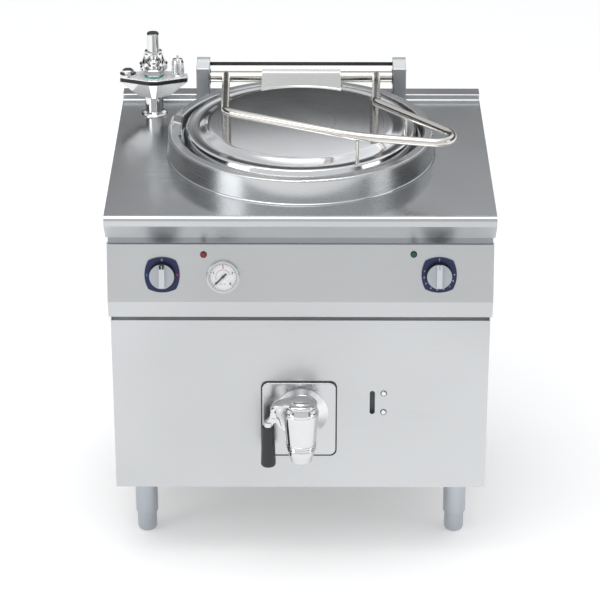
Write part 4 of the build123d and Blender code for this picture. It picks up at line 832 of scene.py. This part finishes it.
# --------------------------------------------------------------------------------------------------
# Dials: blue plates printed with plain marks and stuck on the leaning panel, silver-faced knobs
# with a black skirt, and the valve and switch behind.
# --------------------------------------------------------------------------------------------------
dial_blue = moulded("dial plate blue", (0.012, 0.022, 0.10), 0.30)
knob_silver = moulded("knob silver", (0.66, 0.69, 0.72), 0.34, 0.03, 1500, 0.00001, 0.25)
knob_flat = moulded("knob flat grey", (0.47, 0.50, 0.53), 0.36, 0.03, 1500, 0.00001, 0.25)
knob_black = moulded("knob skirt black", (0.012, 0.012, 0.014), 0.40)
valve_brass = stainless("valve brass", (0.60, 0.45, 0.18), 0.3, (80, 80, 80), 0.05)
switch_black = moulded("switch plastic", (0.02, 0.02, 0.022), 0.5)
dress(dial_blue, "dial_plates")
dress(knob_silver, "knob_left", "knob_right")
dress(valve_brass, "water_valve")
dress(switch_black, "energy_switch", "cable_gland")

panel_lean = math.atan2(25.0, 122.0)
panel_foot_y, panel_foot_z = -292.0, 642.0
panel_out = Vector((0, -math.cos(panel_lean), math.sin(panel_lean)))
panel_up = Vector((0, math.sin(panel_lean), math.cos(panel_lean)))


def on_panel(x, z, height=0.0):
    """Place on the leaning panel, in millimetres across and up, and so far out from its face."""
    y = panel_foot_y + (z - panel_foot_z) * math.tan(panel_lean)
    foot = Vector((x, y, z)) * mm + panel_out * height * mm
    return Matrix((
        (1, panel_up.x, panel_out.x, foot.x),
        (0, panel_up.y, panel_out.y, foot.y),
        (0, panel_up.z, panel_out.z, foot.z),
        (0, 0, 0, 1),
    ))


def from_foot(spot, foot):
    """How far a spot stands out of the panel, and how far it is from the line out of a foot."""
    out = (spot - foot).dot(panel_out)
    return out, (spot - foot - panel_out * out).length


plate_face = 3.02
skirt_top = 6.6
knob_wall = 25.0
flat_top = 23.5
left_knob = (-286.0, 700.0)
right_knob = (287.0, 700.5)
for knob_name, knob_spot in (("knob_left", left_knob), ("knob_right", right_knob)):
    knob_foot = on_panel(*knob_spot).translation

    def on_skirt(spot, way):
        """Whether a face belongs to the knob's skirt or its side wall."""
        out, away = from_foot(spot, knob_foot)
        return out < skirt_top * mm or (away > knob_wall * mm and way.dot(panel_out) < 0.7)

    def beside_grip(spot, way):
        """Whether a face belongs to the flat of the knob, beside its grip bar."""
        out, away = from_foot(spot, knob_foot)
        return skirt_top * mm < out < flat_top * mm and away < knob_wall * mm

    dress_faces(knob_name, knob_black, on_skirt)
    dress_faces(knob_name, knob_flat, beside_grip)

notch_floor = 20.52
notch_middle = (0, 21.4)
block_rise = 4.1
line_rise = 0.12
block_outline = rounded(10.2, 8.2, 0.8, notch_middle)
line_outline = rounded(1.2, 7.0, 0.5, notch_middle)
pointer_black = moulded("pointer black", (0.02, 0.02, 0.02), 0.4)
mark_white = moulded("mark white", (0.72, 0.74, 0.76), 0.45, 0.02)
for side_name, knob_spot, block_paint, line_paint in (
    ("left", left_knob, pointer_black, mark_white),
    ("right", right_knob, knob_silver, pointer_black),
):
    block_place = on_panel(*knob_spot, notch_floor)
    block = plate("pointer", block_outline, block_place, block_rise)
    pointer = new_piece(f"knob_pointer_{side_name}", block, block_paint)
    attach(pointer, f"knob_{side_name}")
    line_place = on_panel(*knob_spot, notch_floor + block_rise)
    stripe = plate("line", line_outline, line_place, line_rise)
    pointer_line = new_piece(f"knob_line_{side_name}", stripe, line_paint)
    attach(pointer_line, f"knob_{side_name}")


def figure(text, height, place, x, y, weight):
    """Mesh of a printed figure, so many millimetres high, centred at x, y on a place."""
    size_for_height = 1.35
    thickness = 0.08
    letters = bpy.data.curves.new("figure", "FONT")
    letters.body = text
    letters.size = height * mm * size_for_height
    letters.align_x = "CENTER"
    letters.align_y = "CENTER"
    letters.extrude = thickness * mm / 2
    letters.offset = weight * mm
    letters.resolution_u = 3
    carrier = bpy.data.objects.new("figure", letters)
    mesh = bpy.data.meshes.new_from_object(carrier)
    bpy.data.objects.remove(carrier)
    lift = Matrix.Translation((x * mm, y * mm, thickness * mm / 2))
    mesh.transform(place @ lift)
    return mesh


def at_angle(angle, away):
    """Point so far from the middle, at an angle in degrees."""
    return away * math.cos(math.radians(angle)), away * math.sin(math.radians(angle))


def arc_band(radius, width, start, end, steps=48):
    """Outline of part of a printed ring, angles in degrees."""
    angles = [start + (end - start) * step / steps for step in range(steps + 1)]
    there = [at_angle(angle, radius + width / 2) for angle in angles]
    back = [at_angle(angle, radius - width / 2) for angle in reversed(angles)]
    return there + back


def tick(angle, start, end, width):
    """Outline of a short line that points away from the middle, its angle in degrees."""
    way = Vector(at_angle(angle, 1))
    side = Vector((-way.y, way.x)) * width / 2
    first, last = way * start, way * end
    return [tuple(spot) for spot in (first - side, last - side, last + side, first + side)]


left_face = on_panel(*left_knob, plate_face)
right_face = on_panel(*right_knob, plate_face)
mark_rise = 0.1
print_white = moulded("printed white", (0.62, 0.66, 0.74), 0.45, 0.02)
print_blue = moulded("printed blue", (0.03, 0.16, 0.50), 0.45, 0.02)
print_red = moulded("printed red", (0.60, 0.015, 0.02), 0.45, 0.02)

stop_height = 32.2
stop_print = []
for start in (0, 180):
    half_ring = [(x, y + stop_height) for x, y in arc_band(1.9, 0.6, start, start + 179)]
    stop_print.append(plate("ring", half_ring, left_face, mark_rise))
stop_print.append(plate("stop line", tick(90, 28.6, 29.8, 0.6), left_face, mark_rise))
cold_print = plate("cold mark", rounded(3.6, 5.6, 1.7, (-31.8, 0)), left_face, mark_rise)
hot_print = plate("hot mark", rounded(4.4, 4.8, 2.1, (31.6, 0)), left_face, mark_rise)
stop_mark = new_piece("dial_mark_stop", joined("stop mark", stop_print), print_white)
cold_mark = new_piece("dial_mark_cold", cold_print, print_blue)
hot_mark = new_piece("dial_mark_hot", hot_print, print_red)

first_step_angle, step_turn = 165, 24.5
figure_weight = 0.1
heat_prints = [
    figure("0", 4.2, right_face, 0, 32.8, figure_weight),
    plate("zero line", tick(90, 28.4, 29.8, 0.7), right_face, mark_rise),
]
for step in range(1, 10):
    angle = first_step_angle + step_turn * (step - 1)
    straight = max(abs(part) for part in at_angle(angle, 1)) > 0.9
    figure_x, figure_y = at_angle(angle, 31.6 if straight else 33.0)
    heat_prints.append(figure(str(step), 3.9, right_face, figure_x, figure_y, figure_weight))
    heat_prints.append(plate("step line", tick(angle, 28.1, 29.1, 0.5), right_face, mark_rise))
heat_marks = new_piece("dial_marks_heat", joined("heat marks", heat_prints), print_white)
for mark in (stop_mark, cold_mark, hot_mark, heat_marks):
    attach(mark, "cabinet")

# --------------------------------------------------------------------------------------------------
# Pressure gauge: a bright pressed case set in a round hole of the panel, with a printed white dial
# under flat glass. The needle is a black pressed blade on a hub.
# --------------------------------------------------------------------------------------------------
gauge_place = (-160.0, 696.0)
gauge_rim = stainless("gauge case steel", (0.70, 0.71, 0.71), 0.20, (90, 90, 90), 0.03)
dial_white = moulded("printed dial white", (0.93, 0.93, 0.95), 0.5, 0.02)
needle_black = moulded("needle black", (0.008, 0.008, 0.008), 0.4)
print_grey = moulded("printed grey", (0.02, 0.02, 0.025), 0.5, 0.02)
window = moulded("gauge window", (0.9, 0.92, 0.93), 0.06, 0.0)
window.node_tree.nodes["Principled BSDF"].inputs["Alpha"].default_value = 0.05
dress(gauge_rim, "gauge_case")
dress(dial_white, "gauge_dial")
dress(needle_black, "gauge_needle")
dress(window, "gauge_glass")

dial_face = on_panel(*gauge_place, 2.02)
print_rise = 0.08
scale_radius = 27.4
scale_start = 225
scale_sweep = 270
scale_steps = 20
steps_per_figure = 5
scale_ring = arc_band(scale_radius, 0.6, scale_start - scale_sweep, scale_start)
scale = [plate("scale line", scale_ring, dial_face, print_rise)]
for step in range(scale_steps + 1):
    angle = scale_start - scale_sweep * step / scale_steps
    numbered = step % steps_per_figure == 0
    tick_start, tick_width = (24.0, 1.1) if numbered else (25.4, 0.6)
    scale_tick = tick(angle, tick_start, scale_radius, tick_width)
    scale.append(plate("tick", scale_tick, dial_face, print_rise))
    if numbered:
        figure_x, figure_y = at_angle(angle, 20.6)
        numeral = str(step // steps_per_figure)
        scale.append(figure(numeral, 6.0, dial_face, figure_x, figure_y, 0.22))
for shift in (-4, 3):
    unit_line = [(x - 9, y - 15.5) for x, y in rounded(5, 0.8, 0.3, (9 + shift, 0))]
    scale.append(plate("line", unit_line, dial_face, print_rise))
gauge_scale = new_piece("gauge_scale", joined("gauge scale", scale), print_grey)

red_radius = 14.8
red_rise = 0.09
red_start, red_sweep, red_steps = 20, 180, 8
red_ring = arc_band(red_radius, 0.8, red_start, red_start + red_sweep)
red_arc = [plate("red line", red_ring, dial_face, red_rise)]
for step in range(red_steps + 1):
    angle = red_start + red_sweep * step / red_steps
    red_arc.append(plate("red tick", tick(angle, red_radius, 16.6, 0.6), dial_face, red_rise))
gauge_red_scale = new_piece("gauge_red_scale", joined("red scale", red_arc), print_red)
for mark in (gauge_scale, gauge_red_scale):
    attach(mark, "cabinet")

blade = [(-9.6, -2.0), (-4.0, -1.5), (0, -2.6), (4.0, -1.3), (24.0, -0.45), (24.0, 0.45)]
blade += [(4.0, 1.3), (0, 2.6), (-4.0, 1.5), (-9.6, 2.0)]
blade_height = 4.0
blade_thickness = 0.5
needle_turn = Matrix.Rotation(math.radians(scale_start), 4, "Z")
blade_place = on_panel(*gauge_place, blade_height) @ needle_turn
blade_mesh = plate("needle blade", blade, blade_place, blade_thickness)
needle_blade = new_piece("needle_blade", blade_mesh, needle_black)
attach(needle_blade, "gauge_needle")

# --------------------------------------------------------------------------------------------------
# Lamps, sight slot and electric supply box: coloured lenses in dark rims pressed into the panel,
# a slot and black discs round two domed screws, both dark as painted shade; a folded steel box
# behind.
# --------------------------------------------------------------------------------------------------
red_lens = moulded("red lamp lens", (0.36, 0.02, 0.028), 0.12, 0.1, 300)
green_lens = moulded("green lamp lens", (0.012, 0.10, 0.062), 0.12, 0.1, 300)
rim_dark = moulded("lamp rim", (0.02, 0.012, 0.012), 0.25)
# Painted shade: the slot's recess is coloured dark where shade falls inside it.
slot_painted_shade = moulded("slot painted shade", (0.135, 0.165, 0.16), 0.5)
dress(red_lens, "lamp_red")
dress(green_lens, "lamp_green")
lens_radius = 4.9
for lamp_name, lamp_spot in (("lamp_red", (-200.0, 742.0)), ("lamp_green", (234.0, 743.0))):
    lamp_foot = on_panel(*lamp_spot).translation

    def off_lens(spot, way):
        """Whether a face lies outside the lens."""
        out, away = from_foot(spot, lamp_foot)
        return away > lens_radius * mm

    dress_faces(lamp_name, rim_dark, off_lens)
dress(slot_painted_shade, "sight_recess")
dress(chrome, "sight_screws")

# Painted shade: black discs round the domed screws stand in for the shade in their holes.
screw_x = 0.177
screw_y = -0.2591
hole_shade_thickness = 0.8
hole_shade_outline = rounded(13.4, 13.4, 6.69)
for place_name, screw_z in (("upper", 0.410), ("lower", 0.365)):
    hole_shade_place = facing_front(screw_x, screw_y, screw_z)
    disc = plate("hole_shade_disc", hole_shade_outline, hole_shade_place, hole_shade_thickness)
    hole_shade_disc = new_piece(f"sight_hole_shade_{place_name}", disc, painted_shade_and_reflection_black)
    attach(hole_shade_disc, "cabinet")
dress(frame_tube, "terminal_box")
